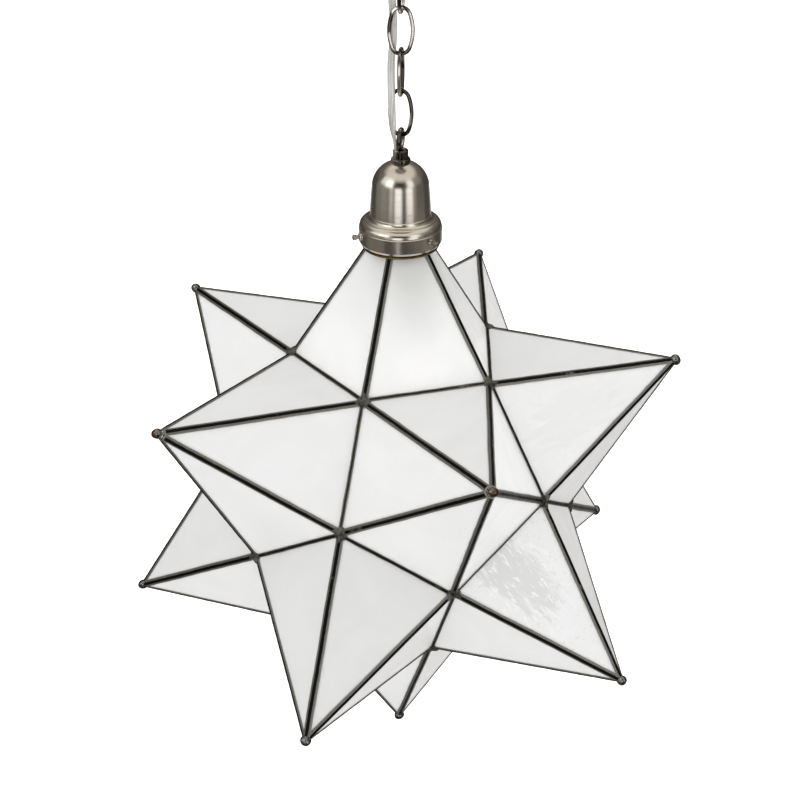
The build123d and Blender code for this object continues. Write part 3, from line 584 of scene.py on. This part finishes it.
def carry(section, start, end, outward, rows, seed, width, crown):
    """Carries a section from start to end. Returns the island, and how far across each point is."""
    along = unit(end - start)
    side = np.cross(outward, along)
    share = np.linspace(0, 1, rows)
    places = share * np.linalg.norm(end - start) * 1000
    widths = width + wobble(places, seed, WIDTH_WAVES)
    crowns = crown + wobble(places, seed + 1, CROWN_WAVES)
    drift = wobble(places, seed + 2, DRIFT_WAVES)
    x, y = section(widths, crowns)
    line = start + share[:, None] * (end - start)
    points = line[:, None, :] + (x + drift[:, None])[..., None] * side + y[..., None] * outward
    across = np.abs(x) / width
    return points, tube_faces(rows, x.shape[1]), across


print("seams start", CORNER_GAP * 1000, "mm from a corner and end", TIP_GAP * 1000, "mm from a tip")

# %% [markdown]
# ## The solder's finish
#
# Black patina sits in the bead. It has been rubbed off the strips, which show the grey tin under it, lighter
# at their edges and patchy along the way, and here and there the copper foil shows at the edge. The attribute
# "across" is 0 on the ridge line and 1 at the strip's edge, so the colour can follow the seam. On a tip drop
# it runs from 2 at the point outwards, and it is 3 on a ring of bare solder at the end of a front drop's
# seams.
# The two front drops are copper-brown at the point and then grey: partly copper, and partly a painted
# reflection.

# %% Solder material
# copper-brown of the front drops' points: partly copper, partly a painted reflection
COPPER_AND_REFLECTION = (0.2, 0.11, 0.07)
FOIL = (0.5, 0.39, 0.28)  # copper foil at the edge of a seam
DROP_GREY = (0.22, 0.22, 0.21)
SILVER = (0.9, 0.9, 0.88)
PATCHES = (150.0, 4.0, 0.6)
GRAIN = (1100.0, 2.0, 0.6)
# light streaks in the black bead: rubbed patina, and painted highlights as well
RUBBED_AND_HIGHLIGHTS = (48.0, 6.0, 0.65)
FOIL_PATCHES = (13.0, 2.0, 0.5)
EDGE_SHIFT = 0.22  # how far the patches push the borders between the colours, in strip widths
DROP_GLOSS = -0.2  # the drops are this much less rough


def point_number(material, name):
    """A number that the mesh carries at each point."""
    return put(material.node_tree, "ShaderNodeAttribute", attribute_name=name).outputs["Fac"]


def solder(name, strip_colour, bead_colour, edge_colour, metallic):
    """Dark metal whose colour runs from the bead over the strip to its edge, broken up by noise."""
    material, shader = new_material(name, strip_colour, 0.42, metallic)
    where = object_place(material)
    across = point_number(material, "across")
    patches = noise(where, *PATCHES)
    shift = calc("MULTIPLY_ADD", patches, EDGE_SHIFT, -EDGE_SHIFT / 2)
    worn = calc("ADD", across, shift)
    on_strip = ramp(worn, 0.33, 0.43)
    on_drop = ramp(across, 1.98, 2.0)

    # the bead's lighter streaks are partly rubbed patina and partly painted highlights
    rubbed = ramp(noise(where, *RUBBED_AND_HIGHLIGHTS), 0.6, 0.7, 0.0, 0.55)
    colour = mixed(rubbed, bead_colour, edge_colour)
    colour = mixed(on_strip, colour, strip_colour)
    colour = mixed(ramp(worn, 0.66, 0.86), colour, edge_colour)
    bare = ramp(noise(where, *FOIL_PATCHES), 0.52, 0.6)
    foil = calc("MULTIPLY", bare, ramp(worn, 0.82, 0.92))
    colour = mixed(foil, colour, FOIL)
    # the front drops' copper-brown point, partly a painted reflection, then grey
    drop = mixed(ramp(worn, 2.16, 2.24), COPPER_AND_REFLECTION, DROP_GREY)
    drop = mixed(ramp(worn, 2.8, 2.85), drop, SILVER)
    colour = mixed(on_drop, colour, drop)
    streaks = ramp(noise(where, *GRAIN), 0.3, 0.75, 0.75, 1.15)

    dull = ramp(patches, 0.3, 0.7, 0.3, 0.48)
    flat = calc("SUBTRACT", on_strip, on_drop)
    inputs = {
        "Base Color": vector_calc("MULTIPLY", colour, streaks),
        "Roughness": calc("MULTIPLY_ADD", on_drop, DROP_GLOSS, dull),
        "Metallic": ramp(flat, 0.0, 1.0, 1.0, metallic),
    }
    feed(shader, inputs)
    bump(shader, patches, 0.25, 0.0005)
    return material


colours = (0.19, 0.185, 0.162), (0.012, 0.012, 0.012), (0.27, 0.263, 0.23)
seam_material = solder("ridge_solder", *colours, 0.55)
colours = (0.15, 0.145, 0.125), (0.02, 0.0195, 0.018), (0.32, 0.305, 0.265)
valley_material = solder("valley_solder", *colours, 0.75)
print("solder:", seam_material.name, "and", valley_material.name)

# %% [markdown]
# ## Solder drops
#
# Where seams meet, the solder pools, and each spike ends in a drop. It's a ball whose radius swells and dips
# a little, so that no two drops are alike.

# %% Tip drops
DROP_ROWS = 15
DROP_COLUMNS = 26
POLE_GAP = 0.12  # radians left open at a drop's two poles, under the caps
DROP_LUMPS = (0.045, 0.05, 0.04)  # heights of a drop's waves, in drop radii
DROP_FILL = 0.95
SIDEWAYS = np.array([0.31, 0.17, 0.94])  # far from each spike but the top and bottom ones


def local_axes(axis, towards):
    """Two unit vectors square to an axis, the first one turned towards a point's direction."""
    first = unit(towards - axis * (towards @ axis))
    return first, np.cross(axis, first)


def round_points(centre, flat, turn, height, first, second, axis):
    """Places at a distance, a turn and a height round an axis."""
    height = height * np.ones_like(turn)
    return (
        centre
        + (flat * np.cos(turn))[..., None] * first
        + (flat * np.sin(turn))[..., None] * second
        + height[..., None] * axis
    )


def tip_drop(centre, axis, seed):
    """A ball of solder whose radius swells and dips. Each row also has its share of the way from the top."""
    first, second = local_axes(axis, SIDEWAYS if abs(axis[2]) < 0.9 else np.array([1.0, 0.0, 0.0]))
    polar = np.linspace(POLE_GAP, np.pi - POLE_GAP, DROP_ROWS)[:, None]
    turn = full_turn(DROP_COLUMNS)
    phases = random_phases(seed, 3)
    ripple, swell, dent = DROP_LUMPS
    lumps = ripple * np.cos(2 * polar + phases[0]) + swell * np.sin(polar) * np.cos(2 * turn + phases[1])
    lumps = lumps + dent * np.sin(polar) ** 2 * np.cos(5 * turn + phases[2])
    radius = TIP_BEAD * (DROP_FILL + lumps - ripple)
    flat = radius * np.sin(polar)
    points = round_points(centre, flat, turn, radius * np.cos(polar), first, second, axis)
    return points[::-1], tube_faces(DROP_ROWS, DROP_COLUMNS), (polar / np.pi)[::-1]


drop_points = tip_drop(np.zeros(3), spikes["bottom"], 0)[0]
print("a drop is", round(float(np.ptp(drop_points[..., 0])) * 1000, 2), "mm wide")

# %% [markdown]
# ## Blots at the corners
#
# Three ridges and three valleys meet at a valley corner. The solder there is a lumpy blot: a low dome on a
# rim that rises with the ridges and falls with the valleys, three times each as it goes round.

# %% Corner blots
BLOT_RADIUS = 0.0056
BLOT_HEIGHT = 0.0021
BLOT_ROOT = 0.0035
BLOT_ROWS = 8
BLOT_COLUMNS = 36
BLOT_LIFT = 0.0006
BLOT_WAVES = (0.13, 0.05, 0.03)  # of its edge: one along each seam, and two random ones, in blot radii
BLOT_DOME = 0.8  # power of the dome's curve, between a parabola's 1 and a ball's 0.5
ROOT_SHARE = 0.9  # the root is this much of the rim's width
BLOT_ACROSS = 0.4  # the blots' colour lies between the bead's and the strip's
RIDGE_RISE = 0.37  # slope of a ridge as it leaves its valley corner


def corner_blot(corner, towards, seed):
    """A blot of solder on a valley corner: a low dome on a rim that follows ridges and valleys in turn."""
    axis = unit(corner - star_centre)
    first, second = local_axes(axis, towards)
    share = np.linspace(0.04, 1.0, BLOT_ROWS)[:, None]
    turn = full_turn(BLOT_COLUMNS)
    phases = random_phases(seed, 2)
    star, swell, dent = BLOT_WAVES
    edge = 1 + star * np.cos(6 * turn)
    edge = edge + swell * np.cos(2 * turn + phases[0]) + dent * np.cos(5 * turn + phases[1])
    flat = BLOT_RADIUS * share * edge
    height = BLOT_HEIGHT * (1 - share**2) ** BLOT_DOME + RIDGE_RISE * flat * np.cos(3 * turn) + BLOT_LIFT
    flat = np.concatenate([flat, flat[-1:] * ROOT_SHARE])
    height = np.concatenate([height, height[-1:] - BLOT_ROOT])
    points = round_points(corner, flat, turn, height, first, second, axis)
    return points, tube_faces(BLOT_ROWS + 1, BLOT_COLUMNS), BLOT_ACROSS


print("a blot reaches", BLOT_RADIUS * 1000, "mm from its corner")

# %% [markdown]
# ## The ridge seams
#
# Each spike's five ridge seams and its drop are one piece, which stands for the plain ridges of the frame.
# The seeds come from the spike and the seam, so each run gives the same wobbles.

# %% Ridge seams, one piece for each spike
RIDGE_ROWS = 60
FRONT_DROPS = ("upper_5", "upper_4")  # the two front drops: a copper-brown point, partly a painted reflection, in a ring of bare solder
SILVER_ROWS = 3
RING_MARK = 3.0  # "across" on the ring
BARE_DROP = 0.3  # the other drops start here, past the copper-brown point
DROP_END = 0.6
SEAM_SEEDS = 1000  # the ridge seams of one spike to the next


def spike_seams(name, axis):
    """The five ridge seams of a spike with the drop at its tip. The top spike's seams stop at the neck."""
    tip = star_centre + axis * TIP_RADIUS
    islands = []
    for number, corner in enumerate(point for trio, point in valleys.items() if name in trio):
        along = unit(tip - corner)
        from_axis = corner - star_centre
        from_axis = from_axis - axis * (from_axis @ axis)
        outward = unit(from_axis - along * (from_axis @ along))
        start = corner + along * CORNER_GAP
        end = tip - along * TIP_GAP
        if name == "top":
            end = corner + along * ((cut_z - corner[2]) / along[2] - NECK_GAP)
        seed = SEAM_SEEDS * sorted(spikes).index(name) + 10 * number
        points, faces, across = carry(ridge_section, start, end, outward, RIDGE_ROWS, seed, STRIP, CROWN)
        if name in FRONT_DROPS:
            across[-SILVER_ROWS:] = RING_MARK
        islands.append((points, faces, across))
    if name != "top":
        points, faces, from_top = tip_drop(tip - axis * TIP_BEAD_INSET, axis, sorted(spikes).index(name))
        lowest = 0.0 if name in FRONT_DROPS else BARE_DROP
        islands.append((points, faces, 2 + np.clip(from_top, lowest, DROP_END)))
    return build(f"seams_{name}", islands)


def finish_piece(piece, body, slot, material, *replaced):
    """Puts a finished piece on its body, if it rides on one, in place of the solids it stands for."""
    piece.data.materials.append(material)
    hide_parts(*replaced)
    if body:
        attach(piece, body)


for name, axis in spikes.items():
    piece = spike_seams(name, axis)
    finish_piece(piece, "star_lamp", "dark_solder", seam_material, f"ridges_{name}")
    print(piece.name, len(piece.data.polygons), "faces")

# %% [markdown]
# ## The valley seams and blots
#
# The thirty valley seams run between the corners where two neighbouring spikes meet. They are made in three
# groups by height, as in the frame, and the blots are one more piece.

# %% Valley seams
VALLEY_ROWS = 36
THIN_SEAM = {"upper_5", "lower_5"}  # one seam in front was soldered thinner than the rest
THIN_SHARE = 0.6
VALLEY_SEEDS = {"upper": 20000, "middle": 21000, "lower": 22000}
edges = {group: [] for group in VALLEY_SEEDS}
for first, second in combinations(spikes, 2):
    if are_neighbours(first, second):
        ends = [point for trio, point in valleys.items() if first in trio and second in trio]
        level = (spikes[first] + spikes[second])[2]
        group = "upper" if level > 0.5 else "lower" if level < -0.5 else "middle"
        edges[group].append(((first, second), ends))

for group, pairs in edges.items():
    islands = []
    for number, (owners, (start, end)) in enumerate(pairs):
        along = unit(end - start)
        outward = unit((start + end) / 2 - star_centre)
        start, end = start + along * CORNER_GAP, end - along * CORNER_GAP
        seed = VALLEY_SEEDS[group] + 10 * number
        strip = VALLEY_STRIP * (THIN_SHARE if set(owners) == THIN_SEAM else 1.0)
        course = (start, end, outward, VALLEY_ROWS, seed)
        islands.append(carry(valley_section, *course, strip, VALLEY_CROWN))
    piece = build(f"valley_seams_{group}", islands)
    finish_piece(piece, "star_lamp", "dark_solder", valley_material, f"valleys_{group}")
    print(piece.name, len(piece.data.polygons), "faces")

# %% Blots
BLOT_SEEDS = 300
blots = []
for number, (trio, corner) in enumerate(valleys.items()):
    blots.append(corner_blot(corner, spikes[sorted(trio)[0]], BLOT_SEEDS + number))
piece = build("solder_blots", blots)
finish_piece(piece, "star_lamp", "dark_solder", valley_material, "valley_joints")
print(piece.name, len(blots), "blots")

# %% [markdown]
# ## The lamp cord
#
# A flat two-core cord runs down beside the chain. Its route is a line through the points below, in
# millimetres, with every corner rounded as far as its two runs allow.

# %% Cord route
CORD_ROUTE = np.array(
    [
        (0, 3.7, -34.5), (0, 3.7, -39), (-3.8, 3.9, -46), (-7.2, 4.1, -58.5), (-7.0, 4.1, -74.5),
        (-5.6, 3.9, -90.5), (-5.7, 3.8, -107), (-7.4, 2.6, -122.5), (-7.4, -0.8, -139), (-6.9, -2.5, -155.5),
        (-6.5, -2.7, -170), (-5.7, -2.3, -180.5), (-3.8, 0.6, -189.8), (-3.62, 0.77, -194.9),
    ]
) / 1000
CORD_STEP = 0.0008


def rounded_line(route, share=0.45, steps=12):
    """The route with each corner cut back by a share of its shorter run and rounded by a parabola.

    A parabola from one cut point to the other is (1-t)^2 a + 2t(1-t) corner + t^2 b.
    """
    line = [route[0]]
    for before, corner, after in zip(route, route[1:], route[2:]):
        cut = share * min(np.linalg.norm(corner - before), np.linalg.norm(after - corner))
        first = corner + unit(before - corner) * cut
        last = corner + unit(after - corner) * cut
        for t in np.linspace(0, 1, steps):
            line.append((1 - t) ** 2 * first + 2 * t * (1 - t) * corner + t * t * last)
    line.append(route[-1])
    return np.array(line)


def resample(line, step):
    """The same line in even steps."""
    run = np.r_[0, np.cumsum(np.linalg.norm(np.diff(line, axis=0), axis=1))]
    places = np.linspace(0, run[-1], max(2, int(run[-1] / step)))
    return np.stack([np.interp(places, run, line[:, axis]) for axis in range(3)], axis=1)


cord_line = rounded_line(CORD_ROUTE)
cord_length = np.sum(np.linalg.norm(np.diff(cord_line, axis=0), axis=1))
print("the cord is", round(float(cord_length) * 1000, 1), "mm long")

# %% [markdown]
# ## The cord's section
#
# Two cores side by side give a flat cord with a groove down the middle of each flat side. The outline is an
# ellipse made squarer, by raising the sine and cosine to a power below 1. The cord twists where it enters the
# holder's loop.

# %% Cord section
CORD_WIDTH = 0.0058
CORD_THICKNESS = 0.0026
CORD_SQUARENESS = 0.62  # 1 is an ellipse, and smaller is squarer
CORD_GROOVE = 0.0003
GROOVE_HALF = 0.0005
CORD_TWIST = -102.0  # degrees, over the last stretch
TWIST_LEAD = 1.25  # the twist is done after 1 / 1.25 of the stretch


def cord_section():
    """A rounded rectangle with a shallow groove along the middle of both flat sides."""
    turn = full_turn(48)[0]
    x, y = (
        size / 2 * np.sign(wave) * np.abs(wave) ** CORD_SQUARENESS
        for size, wave in ((CORD_WIDTH, np.cos(turn)), (CORD_THICKNESS, np.sin(turn)))
    )
    y = y * (1 - CORD_GROOVE / CORD_THICKNESS * 2 * np.exp(-((x / GROOVE_HALF) ** 2)))
    return x, y


def cord_stretch(name, line, twist):
    """Carries the section along a line. The flat side turns by the twist on its way down."""
    tangents = np.gradient(line, axis=0)
    tangents = tangents / np.linalg.norm(tangents, axis=1)[:, None]
    turn = np.radians(twist) * np.clip(np.linspace(0, 1, len(line)) * TWIST_LEAD, 0, 1)
    level = np.stack([np.cos(turn), np.sin(turn), np.zeros(len(line))], axis=1)
    side = level - tangents * np.sum(level * tangents, axis=1)[:, None]
    side = side / np.linalg.norm(side, axis=1)[:, None]
    outward = np.cross(tangents, side)
    x, y = cord_section()
    points = line[:, None, :] + x[None, :, None] * side[:, None, :] + y[None, :, None] * outward[:, None, :]
    return build(name, [(points, tube_faces(len(line), len(x)), x / CORD_WIDTH + 0.5)], sharp=60)


print("cord section:", len(cord_section()[0]), "points")

# %% [markdown]
# ## The cord's finish
#
# Tinned strands show through clear plastic. They lie side by side, so noise that changes quickly across the
# cord and slowly along it draws them, under a glossy coat.

# %% Clear cord
STRIPES = (14.0, 26.0, 1.0)  # strands across the cord, and how soon each one changes along a metre
STRAND_DARK = (0.36, 0.35, 0.32)
STRAND_LIGHT = (0.84, 0.83, 0.79)


def scaled_place(vector, scale):
    """A place scaled differently along each axis, so that a noise on it is drawn out."""
    return put(tree_of(vector), "ShaderNodeMapping", {"Vector": vector, "Scale": scale}).outputs["Vector"]


def clear_cord():
    """Clear plastic over tinned strands, as stripes along the cord."""
    material, shader = new_material("clear_cord", (0.62, 0.63, 0.63), 0.3, 0.25)
    height = parts_of(object_place(material))["Z"]
    places = from_parts(point_number(material, "across"), height)
    stripes = noise(scaled_place(places, STRIPES), 1.0, 3.0, 0.6)
    colour = mixed(ramp(stripes, 0.35, 0.65), STRAND_DARK, STRAND_LIGHT)
    feed(shader, {"Base Color": colour, "Coat Weight": 1.0, "Coat Roughness": 0.12})
    bump(shader, stripes, 0.3, 0.0004)
    return material


cord_material = clear_cord()
print("cord finish:", cord_material.name)

# %% [markdown]
# ## Five stretches of cord
#
# The chain's links swing, so the cord is cut at the middle of each link, and each stretch runs from the link
# at its top to the next one.

# %% Make the cord
LINK_MIDDLES = [sum(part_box(f"link_{number}")[side].z for side in (0, 1)) / 2 for number in range(1, 5)]
cord_heights = [CORD_ROUTE[0][2]] + LINK_MIDDLES + [CORD_ROUTE[-1][2]]
for number in range(1, 6):
    high, low = cord_heights[number - 1], cord_heights[number]
    ends = [[np.interp(-z, -cord_line[:, 2], cord_line[:, axis]) for axis in range(3)] for z in (high, low)]
    inner = cord_line[(cord_line[:, 2] < high - 1e-5) & (cord_line[:, 2] > low + 1e-5)]
    line = resample(np.vstack([ends[0], inner, ends[1]]), CORD_STEP)
    piece = cord_stretch(f"lamp_cord_{number}", line, CORD_TWIST if number == 5 else 0.0)
    finish_piece(piece, None, "clear_cord", cord_material, f"cord_{number}")
    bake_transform(piece)
    print(piece.name, len(piece.data.polygons), "faces")

# %% [markdown]
# ## Metals
#
# The holder is spun and then brushed while it turns, so fine grooves run round it and stretch its reflections
# along its axis. The chain is bright nickel plate gone dark in places, and the other metals are plainer.

# %% Metals
GROOVES = (60.0, 60.0, 2600.0)  # the grooves change quickly with height and slowly round the cup


def brushed_nickel():
    """Nickel with grooves round the axis: noise that changes quickly with height, and stretched shine."""
    material, shader = new_material("brushed_nickel", (0.60, 0.575, 0.535), 0.2, 1.0)
    around = put(material.node_tree, "ShaderNodeTangent", direction_type="RADIAL", axis="Z")
    grooves = noise(scaled_place(object_place(material), GROOVES), 1.0, 3.0, 0.7)
    colour = mixed(ramp(grooves, 0.3, 0.7), (0.6, 0.555, 0.49), (0.68, 0.64, 0.575))
    feed(shader, {"Base Color": colour, "Anisotropic": 0.35, "Tangent": around.outputs["Tangent"]})
    bump(shader, grooves, 0.05, 0.0003)
    return material


def polished_nickel():
    """Bright plate, dark with tarnish in places, with a faint unevenness from the wire under it."""
    material, shader = new_material("polished_nickel", (0.6, 0.565, 0.51), 0.1, 1.0)
    where = object_place(material)
    uneven = noise(where, 260.0, 2.0, 0.5)
    tarnish = noise(where, 52.0, 1.0, 0.4, 0.2)
    colour = mixed(ramp(tarnish, 0.44, 0.55), (0.1, 0.087, 0.073), (0.86, 0.82, 0.755))
    feed(shader, {"Base Color": colour, "Roughness": ramp(uneven, 0.3, 0.7, 0.07, 0.16)})
    bump(shader, uneven, 0.04, 0.0006)
    return material


def aged_brass():
    """Brass gone brown, lighter where hands have rubbed it."""
    material, shader = new_material("aged_brass", (0.30, 0.20, 0.09), 0.38, 1.0)
    stains = noise(object_place(material), 90.0, 4.0, 0.6)
    colour = mixed(ramp(stains, 0.35, 0.7), (0.14, 0.085, 0.04), (0.46, 0.31, 0.13))
    feed(shader, {"Base Color": colour})
    return material


def plain_metal(name, colour, roughness):
    """Metal with a little noise in its roughness."""
    material, shader = new_material(name, colour, roughness, 1.0)
    smears = noise(object_place(material), 140.0, 3.0, 0.5)
    feed(shader, {"Roughness": ramp(smears, 0.3, 0.7, roughness * 0.8, roughness * 1.3)})
    return material


print("grooves", GROOVES[2] / GROOVES[0], "times finer along the axis than round it")

# %% [markdown]
# ## The lamp and its socket
#
# The socket's cap and body are moulded, with a fine grain. The lamp is an opal bulb: its lower dome gives the
# light, and the collar above it stays dim, so the glow fades in over the bulb's height.

# %% Plastic and the lamp
LAMP_GLOW = 26.0
GLOW_END = 0.22  # share of the bulb's height where the glow ends
GLOW_WHOLE = 0.04


def moulded(name, colour, roughness):
    """Moulded plastic with a very fine grain."""
    material, shader = new_material(name, colour, roughness)
    bump(shader, noise(object_place(material), 1400.0, 2.0, 0.5), 0.1, 0.0002)
    return material


def lamp_opal():
    """The bulb's milky glass, with a glow that grows towards its lower end."""
    material, shader = new_material("lamp_opal", (0.92, 0.92, 0.9), 0.35)
    height = parts_of(object_place(material))["Z"]
    low, high = (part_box("lamp_glass")[side].z for side in (0, 1))
    start, end = (low + (high - low) * share for share in (GLOW_END, GLOW_WHOLE))
    glow = mixed(ramp(height, start, end), (0.0, 0.0, 0.0), (1.0, 0.985, 0.96))
    feed(shader, {"Emission Color": glow, "Emission Strength": LAMP_GLOW})
    return material


lamp_material = lamp_opal()
print("the lamp glows at", LAMP_GLOW)

# %% [markdown]
# ## Dress the hard pieces
#
# The other solids keep their frame meshes, which already have the right form, and only get their finish.

# %% Dress the hard pieces
finishes = {
    "brushed_nickel": brushed_nickel(),
    "polished_nickel": polished_nickel(),
    "worn_nickel": plain_metal("worn_nickel", (0.33, 0.285, 0.24), 0.3),
    "aged_brass": aged_brass(),
    "brass": plain_metal("brass", (0.72, 0.52, 0.24), 0.28),
    "zinc_steel": plain_metal("zinc_steel", (0.56, 0.57, 0.58), 0.36),
    "lamp_metal": plain_metal("lamp_metal", (0.7, 0.7, 0.69), 0.25),
    "black_phenolic": moulded("black_phenolic", (0.02, 0.018, 0.017), 0.34),
    "lead_sleeve": moulded("lead_sleeve", (0.5, 0.48, 0.44), 0.5),
    "lamp_opal": lamp_material,
}
wearers = {
    "brushed_nickel": ["holder_cup", "canopy"],
    "worn_nickel": [f"thumb_screw_{number}" for number in (1, 2, 3)],
    "polished_nickel": ["canopy_loop", "holder_loop"] + [f"link_{number}" for number in range(1, 5)],
    "aged_brass": ["neck_ring"],
    "brass": ["canopy_nipple", "canopy_nut", "holder_nipple", "holder_nut"],
    "zinc_steel": ["crossbar"],
    "lamp_metal": ["lamp_base", "screw_shell", "centre_contact"],
    "black_phenolic": ["socket_cap", "socket_body"],
    "lead_sleeve": ["socket_leads"],
    "lamp_opal": ["lamp_glass"],
}
for finish, names in wearers.items():
    for name in names:
        dress(name, finishes[finish])
print("finishes:", ", ".join(finishes))

# %% [markdown]
# ## The studio
#
# The background is plain white, and the light comes evenly from all round, as in a light tent. A white floor
# far below sends some of it up again. Shiny pieces don't see the floor, because they have a studio of their
# own to show.

# %% World and floor
AMBIENT = 1.0
FLOOR_HEIGHT = -1.25
FLOOR_HALF = 12.0
FLOOR_WHITE = (0.94, 0.94, 0.94)
FLOOR_GLOW = 0.6  # for the camera only


def make_world():
    """White where the camera looks, and an even light from all round."""
    world = bpy.data.worlds.new("studio_light")
    world.use_nodes = True
    background = world.node_tree.nodes["Background"]
    feed(background, {"Color": (1, 1, 1, 1), "Strength": AMBIENT})
    bpy.context.scene.world = world


def floor_material():
    """A white floor. The camera sees it a little brighter, so that it meets the background."""
    material, shader = new_material("studio_floor", FLOOR_WHITE, 0.9)
    camera_ray = put(material.node_tree, "ShaderNodeLightPath").outputs["Is Camera Ray"]
    glow = ramp(camera_ray, 0, 1, 0, FLOOR_GLOW)
    feed(shader, {"Emission Color": (1, 1, 1, 1), "Emission Strength": glow})
    return material


make_world()
corners = np.array([(-1, -1, 0), (1, -1, 0), (1, 1, 0), (-1, 1, 0)]) * FLOOR_HALF + (0, 0, FLOOR_HEIGHT)
floor = build("studio_floor", [(corners, [(0, 1, 2, 3)], 0)])
floor.data.materials.append(floor_material())
floor.visible_glossy = False
print("floor at", FLOOR_HEIGHT, "m")

# %% [markdown]
# ## What the metal reflects
#
# Polished metal shows whatever stands round it, so a large sphere that only reflections can see carries the
# studio: bright windows near the camera with dark flags between them, a light wall high on the left, and a
# dimmer room on the other sides. It's drawn from two angles, the azimuth from the camera's side and the
# elevation, as three belts of upright bands under an even ceiling.

# %% Studio sphere
SURROUND_RADIUS = 2.6
# Azimuth in degrees, to the right of the camera, and how bright the studio is from there on
FLOOR_BANDS = [
    (-180, 0.5), (-148, 0.09), (-104, 0.2), (-66, 0.2), (-44, 0.05), (-10, 0.7), (-3, 0.05), (42, 0.14),
    (62, 0.24), (104, 0.09), (148, 0.5),
]
LOW_BANDS = [
    (-180, 0.08), (-108, 0.26), (-80, 0.34), (-54, 0.24), (-43, 0.75), (-29, 0.03), (-22, 1.55), (5, 0.02),
    (22, 1.45), (48, 0.3), (64, 0.15), (104, 0.08),
]
HIGH_BANDS = [(-180, 0.16), (-92, 1.1), (-66, 2.0), (-32, 0.03), (28, 1.4), (58, 0.3), (104, 0.16)]
BAND_SOFTNESS = 1.5  # degrees to each side of a band's edge
CEILING_LEVEL = (0.92, 0.87, 0.8)
# The elevation where each belt begins, how many degrees soft its edge is to each side, and what is in it
BELTS = [(-22.7, 1, LOW_BANDS), (9.0, 7, HIGH_BANDS), (40.0, 12, CEILING_LEVEL)]
STREAKS = 34.0  # fine upright streaks in the studio's walls
STREAK_LEVELS = (0.72, 1.28)


def warmed(level):
    """A grey of the studio: the darker it is, the more of the room's brown it has."""
    shade = max(0.0, 1 - level)
    return (level, level * (1 - 0.09 * shade), level * (1 - 0.2 * shade), 1)


def bands(place, levels):
    """Steps of brightness over azimuth, with soft edges. place runs from 0 behind on the left to 1."""
    node = put(tree_of(place), "ShaderNodeValToRGB", {"Fac": place})
    stops = node.color_ramp.elements
    stops.remove(stops[1])
    stops[0].position = 0.0
    stops[0].color = warmed(levels[0][1])
    for (_, before), (angle, bright) in zip(levels, levels[1:]):
        for offset, level in ((-BAND_SOFTNESS, before), (BAND_SOFTNESS, bright)):
            stop = stops.new((angle + offset + 180) / 360)
            stop.color = warmed(level)
    return node.outputs["Color"]


def studio_sphere():
    """The studio that shiny pieces reflect: low bands, high bands and an even ceiling, by elevation."""
    rows, columns = 33, 64
    polar = np.linspace(0.01, np.pi - 0.01, rows)[:, None]
    turn = full_turn(columns)
    flat, height = SURROUND_RADIUS * np.sin(polar), SURROUND_RADIUS * np.cos(polar)
    points = round_points(np.zeros(3), flat, turn, height, *np.eye(3))
    piece = build("studio_sphere", [(points, tube_faces(rows, columns), 0)])
    material = bpy.data.materials.new("studio_reflections")
    material.use_nodes = True
    material.node_tree.nodes.clear()
    parts = parts_of(object_place(material))
    azimuth = calc("ARCTAN2", parts["X"], calc("MULTIPLY", parts["Y"], -1.0))
    inputs = {"Value": azimuth, "From Min": -np.pi, "From Max": np.pi}
    place = put(material.node_tree, "ShaderNodeMapRange", inputs).outputs["Result"]
    height = calc("DIVIDE", parts["Z"], SURROUND_RADIUS)
    colour = bands(place, FLOOR_BANDS)
    for angle, softness, belt in BELTS:
        start, end = (np.sin(np.radians(angle + side * softness)) for side in (-1, 1))
        upper = belt if belt is CEILING_LEVEL else bands(place, belt)
        colour = mixed(ramp(height, start, end), colour, upper)
    walls = noise(from_parts(azimuth), STREAKS, 3.0, 0.6)
    colour = vector_calc("MULTIPLY", colour, ramp(walls, 0.3, 0.7, *STREAK_LEVELS))
    inputs = {"Color": colour, "Strength": 1.0}
    glow = put(material.node_tree, "ShaderNodeEmission", inputs).outputs["Emission"]
    put(material.node_tree, "ShaderNodeOutputMaterial", {"Surface": glow})
    piece.data.materials.append(material)
    for kind in ("camera", "diffuse", "shadow", "transmission", "volume_scatter"):
        setattr(piece, f"visible_{kind}", False)
    return piece


sphere = studio_sphere()
print("studio sphere of", SURROUND_RADIUS, "m with", len(BELTS) + 1, "belts")

# %% [markdown]
# ## Two soft lamps
#
# Two large soft lamps model the star a little: one from the front left and above, and one from the right,
# behind and below. They are weak, so that the white glass keeps its tones.

# %% Lamps
def soft_lamp(name, place, size, power):
    """A square lamp that faces the star."""
    data = bpy.data.lights.new(name, "AREA")
    data.size = size
    data.energy = power
    lamp = in_scene(name, data)
    lamp.location = place
    aim = Vector(star_centre.tolist()) - Vector(place)
    lamp.rotation_euler = aim.to_track_quat("-Z", "Y").to_euler()
    lamp.visible_glossy = False


soft_lamp("key_light", (-1.6, -1.2, 0.9), size=1.2, power=0.8)
soft_lamp("fill_light", (1.6, 1.2, -0.4), size=1.4, power=3.0)
bpy.context.scene.view_settings.view_transform = "Standard"
print("lamps:", ", ".join(light.name for light in bpy.data.lights))
